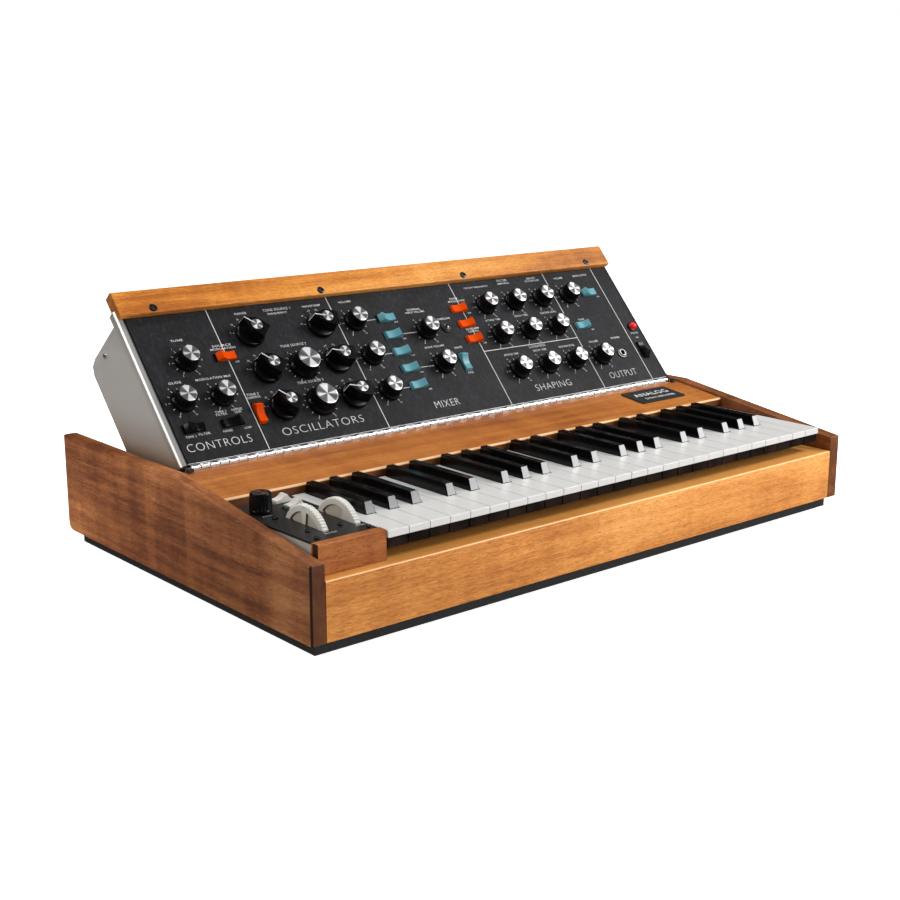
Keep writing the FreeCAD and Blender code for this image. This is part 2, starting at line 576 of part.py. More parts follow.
def wheel_bracket():
    """Channel under the plate, open at front and rear."""
    channel = block(PLATE_LEFT + 0.5, PLATE_RIGHT - 0.5, PLATE_FRONT + 2, PLATE_REAR - 2,
                    40.0, PLATE_BOTTOM - 0.05)
    channel = channel.cut(block(PLATE_LEFT + 1.7, PLATE_RIGHT - 1.7, PLATE_FRONT - 1,
                                PLATE_REAR + 1, 41.2, PLATE_BOTTOM + 1))
    return channel.cut(axle_bore(PLATE_LEFT - 1, 80))


def hand_rocker_frame(y):
    half_y, inner_y = HAND_WIDTH / 2 + 2.4, HAND_WIDTH / 2 + 0.5
    frame = block(HAND_X - 12.6, HAND_X + 12.6, y - half_y, y + half_y, 78.5, PLATE_BOTTOM - 0.1)
    frame = frame.cut(block(HAND_X - 11.4, HAND_X + 11.4, y - inner_y, y + inner_y,
                            80.0, PLATE_BOTTOM + 1))
    return frame.cut(rod(PIN_BORE, 2 * half_y + 2, V(HAND_X, y - half_y - 1, HAND_PIVOT_Z),
                         Y_AXIS))


def hand_plate():
    bearings = [block(x, x + 1.6, WHEEL_Y - 9, WHEEL_Y + 9, 41.25, WHEEL_Z + 8).cut(
        axle_bore(x - 2, 10)) for x in (56.0, 70.2)]
    lfo_body = rod(8.0, 10.0, V(LFO_X, LFO_Y, PLATE_BOTTOM - 10.1)).cut(
        rod(SHAFT_BORE, 9, V(LFO_X, LFO_Y, PLATE_BOTTOM - 8.5)))
    screw_head = [(0, 0.05), (2.6, 0.05), (2.3, 1.1), (1.2, 1.7), (0, 1.8)]
    screws = [revolve(screw_head, V(x, y, PLATE_TOP)) for x, y in PLATE_SCREWS]
    return ([top_plate(), wheel_bracket()] + bearings + [hand_rocker_frame(y) for y in HAND_YS]
            + [lfo_body] + screws)


def wheel_point(radius, angle):
    """(y, z) on the wheel, angle in radians from the top towards the rear."""
    return WHEEL_Y + radius * math.sin(angle), WHEEL_Z + radius * math.cos(angle)


def wheel(name):
    left, right, slots, axle_left, axle_right = WHEELS[name]
    disc = prism_x([wheel_point(WHEEL_RADIUS - (0.55 if i % 2 else 0.0),
                                2 * math.pi * i / RIB_POINTS) for i in range(RIB_POINTS)],
                   left, right)
    for start, end in slots:
        angles = [math.radians(start + (end - start) * i / 6.0) for i in range(7)]
        outline = [wheel_point(26.0, angle) for angle in angles]
        outline += [wheel_point(20.5, angle) for angle in reversed(angles)]
        disc = disc.cut(prism_x(outline, left - 1, right + 1))
    if name == "pitch_wheel":       # notch across the top of the rim
        notch_z = WHEEL_Z + WHEEL_RADIUS + 1.6
        disc = disc.cut(rod(3.4, 20, V(left - 5, WHEEL_Y, notch_z), X_AXIS))
    axle = rod(SHAFT_RADIUS, axle_right - axle_left, V(axle_left, WHEEL_Y, WHEEL_Z), X_AXIS)
    return disc.fuse(axle).removeSplitter()


def lfo_rate_knob():
    radius, bottom, top = LFO_RADIUS, LFO_BOTTOM, LFO_TOP
    knob = revolve([(0, bottom), (radius + 0.2, bottom), (radius + 0.2, bottom + 2.0),
                    (radius, bottom + 2.5), (radius - 0.4, top - 1.0), (radius - 1.2, top),
                    (0, top)], V(LFO_X, LFO_Y, 0))
    shaft_end = PLATE_BOTTOM - 7.5
    knob = knob.fuse(rod(SHAFT_RADIUS, bottom - shaft_end + 1, V(LFO_X, LFO_Y, shaft_end)))
    mark = block(LFO_X - 0.6, LFO_X + 0.6, LFO_Y + radius - 1.0, LFO_Y + radius + 0.5,
                 bottom + 2, top - 2)
    return knob.fuse(mark).removeSplitter()


# ---------------------------------------------------------------- keyboard
KEYS_LEFT, KEY_PITCH, NATURAL_COUNT = 88.8, 23.5, 26
KEYS_RIGHT = KEYS_LEFT + KEY_PITCH * NATURAL_COUNT
NATURAL_WIDTH = 22.7
KEY_FRONT, KEY_TOP = 10.3, 93.5
LIP_BOTTOM, BLOCK_BOTTOM = 87.0, 77.6   # front lip, and the block behind it
KEY_REAR, LEVER_REAR = 156.8, 205.0     # end of the playing surface and of the lever
ROD_Y, ROD_Z, ROD_RADIUS = 198.0, 79.0, 2.5     # pivot rod
SHARP_FRONT, SHARP_REAR, SHARP_TOP, SHARP_WIDTH = 61.5, 155.0, 104.3, 11.2
NOTCH_FRONT = SHARP_FRONT - 1.2         # where the naturals narrow beside a sharp
# Naturals run F G A B C D E; a sharp follows F, G, A, C and D.
# Place of that natural in the run: offset of the sharp from the boundary after it
SHARP_OFFSETS = {0: -3.0, 1: 0.0, 2: 3.0, 4: -2.0, 5: 3.0}
# Boundary number: x centre of its sharp
SHARPS = {i: KEYS_LEFT + KEY_PITCH * i + SHARP_OFFSETS[(i - 1) % 7]
          for i in range(1, NATURAL_COUNT) if (i - 1) % 7 in SHARP_OFFSETS}


def rod_bore(x):
    return rod(ROD_RADIUS + 0.05, 40, V(x, ROD_Y, ROD_Z), X_AXIS)


def natural_key(i):
    left = KEYS_LEFT + KEY_PITCH * i + (KEY_PITCH - NATURAL_WIDTH) / 2.0
    right = left + NATURAL_WIDTH
    clear = SHARP_WIDTH / 2 + 0.95
    neck_left = max(left, SHARPS[i] + clear) if i in SHARPS else left
    neck_right = min(right, SHARPS[i + 1] - clear) if i + 1 in SHARPS else right
    plan = [(left, KEY_FRONT), (right, KEY_FRONT), (right, NOTCH_FRONT)]
    if neck_right < right:
        plan.append((neck_right, NOTCH_FRONT))
    plan += [(neck_right, KEY_REAR), (neck_left, KEY_REAR)]
    if neck_left > left:
        plan.append((neck_left, NOTCH_FRONT))
    plan.append((left, NOTCH_FRONT))
    key = prism_z(plan, LIP_BOTTOM, KEY_TOP)
    key = fillet(key, 1.0, lambda b: b.ZMin > KEY_TOP - TOL
                 and b.XLength > NATURAL_WIDTH - 0.1 and b.YMax < KEY_FRONT + 0.1)
    key = key.fuse(block(left + 0.35, right - 0.35, KEY_FRONT + 1.6, NOTCH_FRONT - 1.0,
                         BLOCK_BOTTOM, LIP_BOTTOM + 0.5))
    lever = block(neck_left + 0.6, neck_right - 0.6, LEDGE_REAR + 6.0, LEVER_REAR,
                  72.0, LIP_BOTTOM)
    return key.fuse(lever).removeSplitter().cut(rod_bore(left - 5))


def sharp_key(centre):
    def outline(half, front, z):
        return polygon([V(centre - half, front, z), V(centre + half, front, z),
                        V(centre + half, SHARP_REAR, z), V(centre - half, SHARP_REAR, z)])

    half = SHARP_WIDTH / 2.0
    key = Part.makeLoft([outline(half, SHARP_FRONT, KEY_TOP + 0.2),
                         outline(half - 1.1, SHARP_FRONT + 4.6, SHARP_TOP)], True, True)
    key = fillet(key, 0.9, lambda b: (b.ZMin > SHARP_TOP - TOL and b.YMin < 100)
                 or (b.ZLength > 8 and b.YMax < SHARP_FRONT + 6))
    # lever, then the web that joins it to the cap
    for rear, z0, z1 in ((LEVER_REAR, 74.0, 86.5), (SHARP_REAR, 86.0, KEY_TOP + 0.4)):
        key = key.fuse(block(centre - 4.8, centre + 4.8, SHARP_FRONT + 4.0, rear, z0, z1))
    return key.removeSplitter().cut(rod_bore(centre - 20))


def key_frame():
    left, right = KEYS_LEFT - 1.6, KEYS_RIGHT + 4.0
    rod_left, rod_right = KEYS_LEFT - 1.5, KEYS_RIGHT + 3.3
    frame = block(left, right, 26.0, 208.0, 50.0, 51.5)
    for y in (26.0, 185.0):         # downward flanges
        frame = frame.fuse(block(left, right, y, y + 1.5, 30.0, 50.5))
    frame = cut_all(frame, [rod(9, 5, V(KEYS_LEFT + 60 + 61 * j, 120, 48)) for j in range(9)])
    solids = [frame.removeSplitter()]
    for x0, x1 in ((rod_left, KEYS_LEFT - 0.2), (KEYS_RIGHT + 1.7, rod_right)):
        bore = rod(ROD_RADIUS, 6, V(x0 - 2, ROD_Y, ROD_Z), X_AXIS)
        solids.append(block(x0, x1, 184.0, 206.0, 51.6, 86.0).cut(bore))
    solids.append(rod(ROD_RADIUS, rod_right - rod_left, V(rod_left, ROD_Y, ROD_Z), X_AXIS))
    # felt down-stop, then contact board
    for y0, y1, top in ((47.0, 57.0, 57.0), (120.0, 170.0, 53.2)):
        solids.append(block(KEYS_LEFT + 1, KEYS_RIGHT - 1, y0, y1, 51.6, top))
    for x in (KEYS_LEFT + 30, KEYS_LEFT + 305, KEYS_RIGHT - 30):    # posts
        for y in (60, 160):
            solids.append(block(x - 8, x + 8, y, y + 16, 1.6, 49.9))
    return solids


# ---------------------------------------------------------------- parts
os.makedirs("parts", exist_ok=True)
write("left_cheek", cheek(0.0))
write("right_cheek", cheek(WIDTH - CHEEK_THICKNESS))
for build in (front_rail, rear_rail, fascia_board, corner_block, base_pan, hinge_panel_leaf,
              base_hardware, panel_face, panel_housing, panel_trim_wood, panel_hardware,
              prop_stand, hand_rockers, hand_plate, lfo_rate_knob, key_frame):
    write(build.__name__, build())
for name, x, v, size in KNOBS:
    write(name, panel(seat(round_knob(**size), x, v)))
for name, x, v, nose in SELECTORS:
    write(name, panel(seat(selector_knob(), x, v, nose)))
for name, places, turn, tilt in ROCKERS:
    write(name, [panel_rocker(x, v, turn, tilt) for x, v in places])
for name in WHEELS:
    write(name, wheel(name))
write("natural_keys", [natural_key(i) for i in range(NATURAL_COUNT)])
write("sharp_keys", [sharp_key(centre) for centre in SHARPS.values()])
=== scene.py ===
"""Tabletop analogue synthesizer: wooden cabinet, keyboard and a tilted control panel.

The keyboard faces -Y, x runs left to right and +Z is up. Knobs, rockers, wheels, lamps,
screws and lettering are modelled here, and every piece gets its material. Shape tables are
in millimetres; Blender and the material limits use metres.
"""
import json
import math

import bmesh
import bpy
from mathutils import Matrix, Vector

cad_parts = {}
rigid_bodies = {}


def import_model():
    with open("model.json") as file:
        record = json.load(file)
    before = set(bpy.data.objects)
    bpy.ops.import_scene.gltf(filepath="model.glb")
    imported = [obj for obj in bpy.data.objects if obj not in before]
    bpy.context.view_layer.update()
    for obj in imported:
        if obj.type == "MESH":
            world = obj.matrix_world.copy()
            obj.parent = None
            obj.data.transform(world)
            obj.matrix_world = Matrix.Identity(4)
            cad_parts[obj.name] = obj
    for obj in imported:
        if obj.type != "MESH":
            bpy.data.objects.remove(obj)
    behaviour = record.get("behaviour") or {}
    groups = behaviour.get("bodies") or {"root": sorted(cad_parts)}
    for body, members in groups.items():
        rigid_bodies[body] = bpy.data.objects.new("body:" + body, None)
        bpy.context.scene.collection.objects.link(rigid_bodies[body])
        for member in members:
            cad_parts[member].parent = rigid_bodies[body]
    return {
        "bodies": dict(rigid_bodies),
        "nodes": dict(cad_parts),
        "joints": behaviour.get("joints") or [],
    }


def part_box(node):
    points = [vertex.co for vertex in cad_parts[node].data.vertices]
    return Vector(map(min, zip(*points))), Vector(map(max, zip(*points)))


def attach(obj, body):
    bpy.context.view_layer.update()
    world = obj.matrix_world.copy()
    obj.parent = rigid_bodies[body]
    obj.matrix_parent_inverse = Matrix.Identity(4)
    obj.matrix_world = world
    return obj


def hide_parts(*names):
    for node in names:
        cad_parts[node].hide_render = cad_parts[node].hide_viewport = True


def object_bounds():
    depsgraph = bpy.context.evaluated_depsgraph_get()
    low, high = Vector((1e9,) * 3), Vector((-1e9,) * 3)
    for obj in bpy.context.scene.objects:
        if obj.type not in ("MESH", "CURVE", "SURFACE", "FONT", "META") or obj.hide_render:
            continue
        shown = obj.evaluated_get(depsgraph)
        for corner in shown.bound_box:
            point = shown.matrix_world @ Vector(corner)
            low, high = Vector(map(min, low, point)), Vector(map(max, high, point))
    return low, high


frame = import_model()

# ------------------------------------------------------------ reference frames
CAD_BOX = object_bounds()
LOW, HIGH = CAD_BOX
DEPTH = HIGH.y - LOW.y
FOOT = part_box("base_pan")[0].z      # underside of the base pan
JOINTS = {joint["name"]: joint for joint in frame["joints"]}
JOINT_OF = {joint["child"]: joint for joint in frame["joints"]}


def metres(*lengths):
    """Millimetres to metres."""
    return tuple(length / 1000.0 for length in lengths)


def joint_point(body):
    return Vector(JOINT_OF[body]["pos_m"])


def cabinet_point(x, y, z):
    """Millimetres from the left cheek, the cheek fronts and the underside of the pan."""
    return Vector((LOW.x + x / 1000.0, LOW.y + y / 1000.0, FOOT + z / 1000.0))


# Panel frame: x across, v up the face, d out of it. A knob's axis gives the tilt.
knob_axis = Vector(JOINT_OF["tune_knob"]["axis"]).normalized()
up_face = Vector((0.0, knob_axis.z, -knob_axis.y))
PANEL_TILT = math.atan2(-knob_axis.y, knob_axis.z)
HINGE_PIN = Vector(JOINTS["panel_tilt"]["pos_m"])
panel_corner = HINGE_PIN + up_face * 0.0032 + knob_axis * 0.0010
PANEL = (Matrix.Translation((LOW.x, panel_corner.y, panel_corner.z))
         @ Matrix.Rotation(PANEL_TILT, 4, "X"))
TO_PANEL = PANEL.inverted()
PANEL_NORMAL = PANEL.to_3x3() @ Vector((0, 0, 1))
PANEL_LEVEL = PANEL_NORMAL.dot(PANEL.translation)

PLATE_TOP = 94.0                    # top of the hand plate, mm above the pan's underside
PLATE = Matrix.Translation(cabinet_point(0, 0, PLATE_TOP))


def on_panel(x, v, d=0.0):
    return PANEL @ Matrix.Translation(metres(x, v, d))


# ------------------------------------------------------------ node helpers
class Graph:
    """A node tree, with short ways to add the nodes used here."""

    def __init__(self, tree):
        self.tree = tree

    def new(self, kind, **settings):
        node = self.tree.nodes.new(kind)
        for key, value in settings.items():
            setattr(node, key, value)
        return node

    def put(self, socket, value):
        """Links a socket, or sets a plain value; colours may leave out their alpha."""
        if isinstance(value, bpy.types.NodeSocket):
            self.tree.links.new(value, socket)
        elif isinstance(value, tuple) and len(value) == 3 and socket.type == "RGBA":
            socket.default_value = value + (1.0,)
        else:
            socket.default_value = value

    def math(self, operation, first, second=0.0, third=None, clamp=False):
        node = self.new("ShaderNodeMath", operation=operation, use_clamp=clamp)
        self.put(node.inputs[0], first)
        self.put(node.inputs[1], second)
        if third is not None:
            self.put(node.inputs[2], third)
        return node.outputs[0]

    def multiply(self, first, second):
        return self.math("MULTIPLY", first, second)

    def linear(self, value, gain, offset):
        return self.math("MULTIPLY_ADD", value, gain, offset)

    def swing(self, value, gain, around):
        """Adds a noise value, centred on its middle of 0.5, to `around`."""
        return self.linear(self.math("SUBTRACT", value, 0.5), gain, around)

    def remap(self, value, low, high, to_low=0.0, to_high=1.0):
        node = self.new("ShaderNodeMapRange")
        for socket, item in zip(node.inputs, (value, low, high, to_low, to_high)):
            self.put(socket, item)
        return node.outputs[0]

    def axes(self, source):
        node = self.new("ShaderNodeSeparateXYZ")
        self.put(node.inputs[0], source)
        return node.outputs

    def mix_shaders(self, factor, first, second):
        node = self.new("ShaderNodeMixShader")
        for socket, item in zip(node.inputs, (factor, first, second)):
            self.put(socket, item)
        return node.outputs[0]

    def white_light(self, kind, strength):
        """A white emission or background node."""
        node = self.new(kind)
        self.put(node.inputs[0], (1, 1, 1))
        self.put(node.inputs[1], strength)
        return node.outputs[0]


class Shader(Graph):
    """A material under construction around its Principled BSDF."""

    INPUTS = dict(color="Base Color", rough="Roughness", metal="Metallic", normal="Normal",
                  coat="Coat Weight", coat_rough="Coat Roughness", coat_ior="Coat IOR",
                  spec="Specular IOR Level", aniso="Anisotropic", tangent="Tangent",
                  emit="Emission Color", emit_strength="Emission Strength")

    def __init__(self, name):
        self.material = bpy.data.materials.new(name)
        self.material.use_nodes = True
        super().__init__(self.material.node_tree)
        self.surface = self.tree.nodes["Principled BSDF"]
        self.coordinates = self.new("ShaderNodeTexCoord").outputs["Object"]

    def mapping(self, scale=(1, 1, 1), shift=(0, 0, 0), source=None):
        node = self.new("ShaderNodeMapping")
        node.inputs["Scale"].default_value = scale
        node.inputs["Location"].default_value = shift
        self.put(node.inputs["Vector"], source or self.coordinates)
        return node.outputs[0]

    def noise(self, scale, detail, rough, distortion=0.0,
              stretch=(1, 1, 1), shift=(0, 0, 0), source=None):
        vector = self.mapping(stretch, shift, source)
        node = self.new("ShaderNodeTexNoise")
        node.inputs["Scale"].default_value = scale
        node.inputs["Detail"].default_value = detail
        node.inputs["Roughness"].default_value = rough
        node.inputs["Distortion"].default_value = distortion
        self.put(node.inputs["Vector"], vector)
        return node.outputs["Fac"]

    def ramp(self, factor, stops):
        """stops: (position, colour or grey level)."""
        node = self.new("ShaderNodeValToRGB")
        elements = node.color_ramp.elements
        elements.remove(elements[-1])
        for i, (position, color) in enumerate(stops):
            color = (color,) * 3 if isinstance(color, float) else color
            element = elements.new(position) if i else elements[0]
            element.position = position
            element.color = color + (1.0,)
        self.put(node.inputs[0], factor)
        return node.outputs[0]

    def mix(self, factor, first, second, blend="MIX"):
        node = self.new("ShaderNodeMix", data_type="RGBA", blend_type=blend)
        self.put(node.inputs[0], factor)
        self.put(node.inputs[6], first)
        self.put(node.inputs[7], second)
        return node.outputs[2]

    def shade(self, color, amount):
        """Multiplies a colour by a 0 to 1 value."""
        grey = self.ramp(amount, [(0.0, 0.0), (1.0, 1.0)])
        return self.mix(1.0, color, grey, "MULTIPLY")

    def bump(self, height, strength, distance):
        node = self.new("ShaderNodeBump")
        node.inputs["Strength"].default_value = strength
        node.inputs["Distance"].default_value = distance
        self.put(node.inputs["Height"], height)
        return node.outputs[0]

    def place(self):
        """Object coordinates as separate X, Y and Z."""
        return self.axes(self.coordinates)

    def along_normal(self, place):
        """Distance of a point along the panel's normal, from the scene's origin."""
        across = self.multiply(place["Y"], PANEL_NORMAL.y)
        return self.linear(place["Z"], PANEL_NORMAL.z, across)

    def set(self, **values):
        for key, value in values.items():
            self.put(self.surface.inputs[self.INPUTS[key]], value)
        return self.material


def srgb(*levels):
    """0-255 display levels to a linear colour."""
    def linear(level):
        part = level / 255.0
        return part / 12.92 if part <= 0.04045 else ((part + 0.055) / 1.055) ** 2.4
    return tuple(linear(level) for level in levels)


# ------------------------------------------------------------ wood
ABOVE, BELOW = "GREATER_THAN", "LESS_THAN"


def wood(name, tones, seed, figure, rough, grain="x", smoke=0.0, pore=0.5, streaky=0.7,
         painted_light_zones=(), painted_light_fade=None):
    """Satin mahogany: short open pores, soft streaks, faint cross figure, colour drift.

    tones: dark, middle, light.
    painted_light_zones: painted highlights and shade, (limits, amount, colour) each; a limit is
    (axis, ABOVE or BELOW, metres).
    painted_light_fade: painted light ramp, (axis, start, end, brightness at start, brightness at
    end).
    """
    mat = Shader(name)
    dark, middle, light = tones
    base = mat.mapping(shift=(seed, seed * 0.7, seed * 1.3))

    def layer(along, across, detail, rough, distortion=0.0, shift=(0, 0, 0)):
        stretch = (along, across, across) if grain == "x" else (across, along, across)
        return mat.noise(1.0, detail, rough, distortion, stretch, shift, base)

    def darker(factor):
        return tuple(c * factor for c in dark)

    drift = layer(along=2.6, across=7.0, detail=2.0, rough=0.5, distortion=0.3)
    streak = layer(along=5.0, across=95.0, detail=4.0, rough=0.6, distortion=0.25)
    fibre = layer(along=26.0, across=620.0, detail=4.0, rough=0.65)
    fleck = layer(along=150.0, across=900.0, detail=3.0, rough=0.6)
    short_pores = layer(along=210.0, across=1500.0, detail=2.0, rough=0.5, shift=(1.3, 2.1, 0.7))
    short_pores = mat.remap(short_pores, low=0.56, high=0.68)
    long_pores = layer(along=55.0, across=1700.0, detail=1.0, rough=0.5)
    long_pores = mat.remap(long_pores, low=0.60, high=0.70)
    band = layer(along=34.0, across=4.0, detail=2.0, rough=0.5, distortion=0.5)

    tone = 0.5
    for value, gain in ((drift, 1.15), (streak, 1.1 * streaky), (fibre, 0.42), (fleck, 0.45),
                        (band, 0.90 * figure)):
        tone = mat.swing(value, gain, around=tone)
    color = mat.ramp(tone, [(0.24, dark), (0.50, middle), (0.76, light)])
    color = mat.mix(mat.multiply(short_pores, pore), color, darker(0.45))
    color = mat.mix(mat.multiply(long_pores, pore * 0.7), color, darker(0.50))
    if smoke:
        clouds = layer(along=7.0, across=15.0, detail=3.0, rough=0.55, distortion=0.5,
                       shift=(3.1, 1.7, 0.4))
        bars = layer(along=120.0, across=16.0, detail=3.0, rough=0.6, distortion=0.3,
                     shift=(0.3, 2.7, 1.4))
        bars = mat.math("MULTIPLY_ADD", bars, 0.9, 0.35, clamp=True)
        cover = mat.multiply(mat.remap(clouds, low=0.42, high=0.66), bars)
        color = mat.mix(mat.multiply(cover, smoke), color, darker(0.50))
    # painted light: a brightness ramp standing in for light falling off across the piece
    if painted_light_fade:
        axis, start, end, first, last = painted_light_fade
        share = mat.math("SUBTRACT", mat.place()[axis], start)
        share = mat.math("DIVIDE", share, end - start)
        share = mat.math("MINIMUM", mat.math("MAXIMUM", share, 0.0), 1.0)
        scale = mat.new("ShaderNodeVectorMath", operation="SCALE")
        mat.put(scale.inputs[0], color)
        mat.put(scale.inputs[3], mat.linear(share, gain=last - first, offset=first))
        color = scale.outputs[0]
    # painted highlights and painted shade, mixed over the grain
    if painted_light_zones:
        place = mat.place()
        for limits, amount, painted_light_color in painted_light_zones:
            mask = None
            for axis, side, limit in limits:
                within = mat.math(side, place[axis], limit)
                mask = mat.multiply(mask, within) if mask else within
            color = mat.mix(mat.multiply(mask, amount), color, painted_light_color)
    pores = mat.math("MAXIMUM", short_pores, long_pores)
    relief = mat.linear(pores, gain=-0.8, offset=mat.multiply(fleck, 0.5))
    return mat.set(color=color, rough=mat.linear(fibre, gain=0.14, offset=rough - 0.05),
                   normal=mat.bump(relief, strength=0.12, distance=0.0004),
                   coat=0.08, coat_rough=0.20, spec=0.24)


# colours of painted shade and of painted edge highlights on the wood
PAINTED_SHADE_BROWN = srgb(30, 16, 10)
PAINTED_EDGE_HIGHLIGHT = srgb(255, 216, 164)
GOLD_TONES = srgb(166, 98, 40), srgb(206, 137, 66), srgb(226, 162, 90)
FASCIA_TONES = srgb(120, 62, 20), srgb(160, 92, 34), srgb(186, 119, 54)
TRIM_TONES = srgb(158, 88, 26), srgb(204, 130, 50), srgb(226, 158, 76)
BLOCK_TONES = srgb(108, 54, 20), srgb(150, 84, 36), srgb(180, 112, 58)
BROWN_TONES = srgb(98, 50, 22), srgb(148, 88, 46), srgb(184, 124, 74)
RIGHT_CHEEK_TONES = srgb(100, 54, 24), srgb(140, 82, 42), srgb(170, 108, 62)
RAIL_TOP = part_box("front_rail")[1].z
RAIL_EDGE_Y = LOW.y + 0.0013
FASCIA_TOP = FOOT + 0.1006
FASCIA_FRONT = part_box("fascia_board")[0].y
TRIM_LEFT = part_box("panel_trim_wood")[0].x
BLOCK_LOW, BLOCK_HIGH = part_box("corner_block")

# painted light: the top is lightened where the keys shade it, a painted highlight runs on the
# front-top edge, and a painted light ramp brightens it to the right
RAIL_WOOD = wood(
    "wood_front_rail", GOLD_TONES, seed=0.0, figure=0.25, rough=0.38, streaky=0.42,
    painted_light_zones=[([("Y", ABOVE, RAIL_EDGE_Y), ("Z", ABOVE, RAIL_TOP - 0.0006)],
            0.42, srgb(255, 178, 92)),
           ([("Y", BELOW, RAIL_EDGE_Y), ("Z", ABOVE, RAIL_TOP - 0.0010)], 0.60, PAINTED_EDGE_HIGHLIGHT)],
    painted_light_fade=("X", LOW.x, HIGH.x, 1.0, 1.12))
# painted highlight on the front-top edge; painted shade on the front face between the sharps
FASCIA_WOOD = wood(
    "wood_fascia", FASCIA_TONES, seed=2.3, figure=0.45, rough=0.46, pore=0.4, streaky=0.6,
    painted_light_zones=[([("Y", BELOW, FASCIA_FRONT + 0.0020), ("Z", ABOVE, FASCIA_TOP)], 0.55, PAINTED_EDGE_HIGHLIGHT),
           ([("Y", BELOW, FASCIA_FRONT + 0.0008), ("Z", BELOW, FASCIA_TOP - 0.0003)],
            0.72, srgb(38, 19, 8))])
# painted shade on the left end face; painted light ramp, darker to the right
TRIM_WOOD = wood(
    "wood_trim", TRIM_TONES, seed=4.9, figure=0.35, rough=0.34, pore=0.6,
    painted_light_zones=[([("X", BELOW, TRIM_LEFT + 0.0006)], 0.62, srgb(96, 46, 18))],
    painted_light_fade=("X", LOW.x, HIGH.x, 1.06, 0.82))
# painted shade on the left end face
BLOCK_WOOD = wood(
    "wood_block", BLOCK_TONES, seed=7.1, figure=0.6, rough=0.38, pore=0.6,
    painted_light_zones=[([("X", BELOW, BLOCK_LOW.x + 0.0005), ("Y", BELOW, BLOCK_HIGH.y - 0.0022)],
            0.95, PAINTED_SHADE_BROWN)])
# painted shade on the front face, a painted dark reflection on the rounded front-outer edge, and
# a painted light ramp darker towards the front
LEFT_CHEEK_WOOD = wood(
    "wood_cheek_left", BROWN_TONES, seed=1.2, figure=0.6, rough=0.42, grain="y", smoke=0.26,
    painted_light_zones=[([("Y", BELOW, LOW.y + 0.0006)], 0.70, srgb(66, 31, 13)),
           ([("X", BELOW, LOW.x + 0.0017), ("Y", BELOW, LOW.y + 0.0017)], 0.95, PAINTED_SHADE_BROWN)],
    painted_light_fade=("Y", LOW.y + 0.02, LOW.y + 0.40, 0.76, 1.34))
RIGHT_CHEEK_WOOD = wood("wood_cheek_right", RIGHT_CHEEK_TONES, seed=5.6, figure=0.8, rough=0.40,
                        grain="y", smoke=0.35)
REAR_WOOD = wood("wood_rear_rail", BROWN_TONES, seed=8.2, figure=0.5, rough=0.42)


# ------------------------------------------------------------ paint, metal and plastic
def face_paint():
    """Charcoal paint with fine and broad mottling."""
    mat = Shader("charcoal_face")
    fine = mat.noise(scale=1300.0, detail=3.0, rough=0.7)
    smear = mat.noise(scale=320.0, detail=4.0, rough=0.7, distortion=0.5,
                      stretch=(1, 0.45, 0.45))
    patches = mat.noise(scale=26.0, detail=3.0, rough=0.55)
    drift = mat.noise(scale=3.2, detail=2.0, rough=0.5)
    tone = mat.linear(smear, gain=0.55, offset=mat.multiply(fine, 0.35))
    tone = mat.swing(patches, gain=0.22, around=tone)
    tone = mat.swing(drift, gain=0.16, around=tone)
    color = mat.ramp(tone, [(0.30, srgb(10, 10, 12)), (0.46, srgb(27, 27, 30)),
                            (0.64, srgb(54, 54, 57))])
    relief = mat.math("ADD", fine, smear)
    return mat.set(color=color, rough=mat.linear(smear, gain=0.20, offset=0.44), spec=0.16,
                   normal=mat.bump(relief, strength=0.30, distance=0.0004))


def print_paint(name, low, high):
    mat = Shader(name)
    grain = mat.noise(scale=1400.0, detail=3.0, rough=0.6)
    return mat.set(color=mat.ramp(grain, [(0.3, low), (0.6, high)]), rough=0.6)


def brush_marks(mat, stretch, rough):
    """Streaks, and the roughness they give."""
    marks = mat.noise(scale=1.0, detail=6.0, rough=0.6, stretch=stretch)
    drift = mat.noise(scale=30.0, detail=3.0, rough=0.5)
    base = mat.linear(drift, gain=0.10, offset=rough - 0.10)
    return marks, mat.linear(marks, gain=0.14, offset=base)


def brushed(name, tone, stretch, rough, metal=1.0, contrast=0.12, bump=0.06):
    mat = Shader(name)
    marks, roughness = brush_marks(mat, stretch, rough)
    level = mat.linear(marks, gain=contrast, offset=1.0 - contrast)
    return mat.set(color=mat.shade(tone, level), rough=roughness, metal=metal,
                   normal=mat.bump(marks, strength=bump, distance=0.0003))


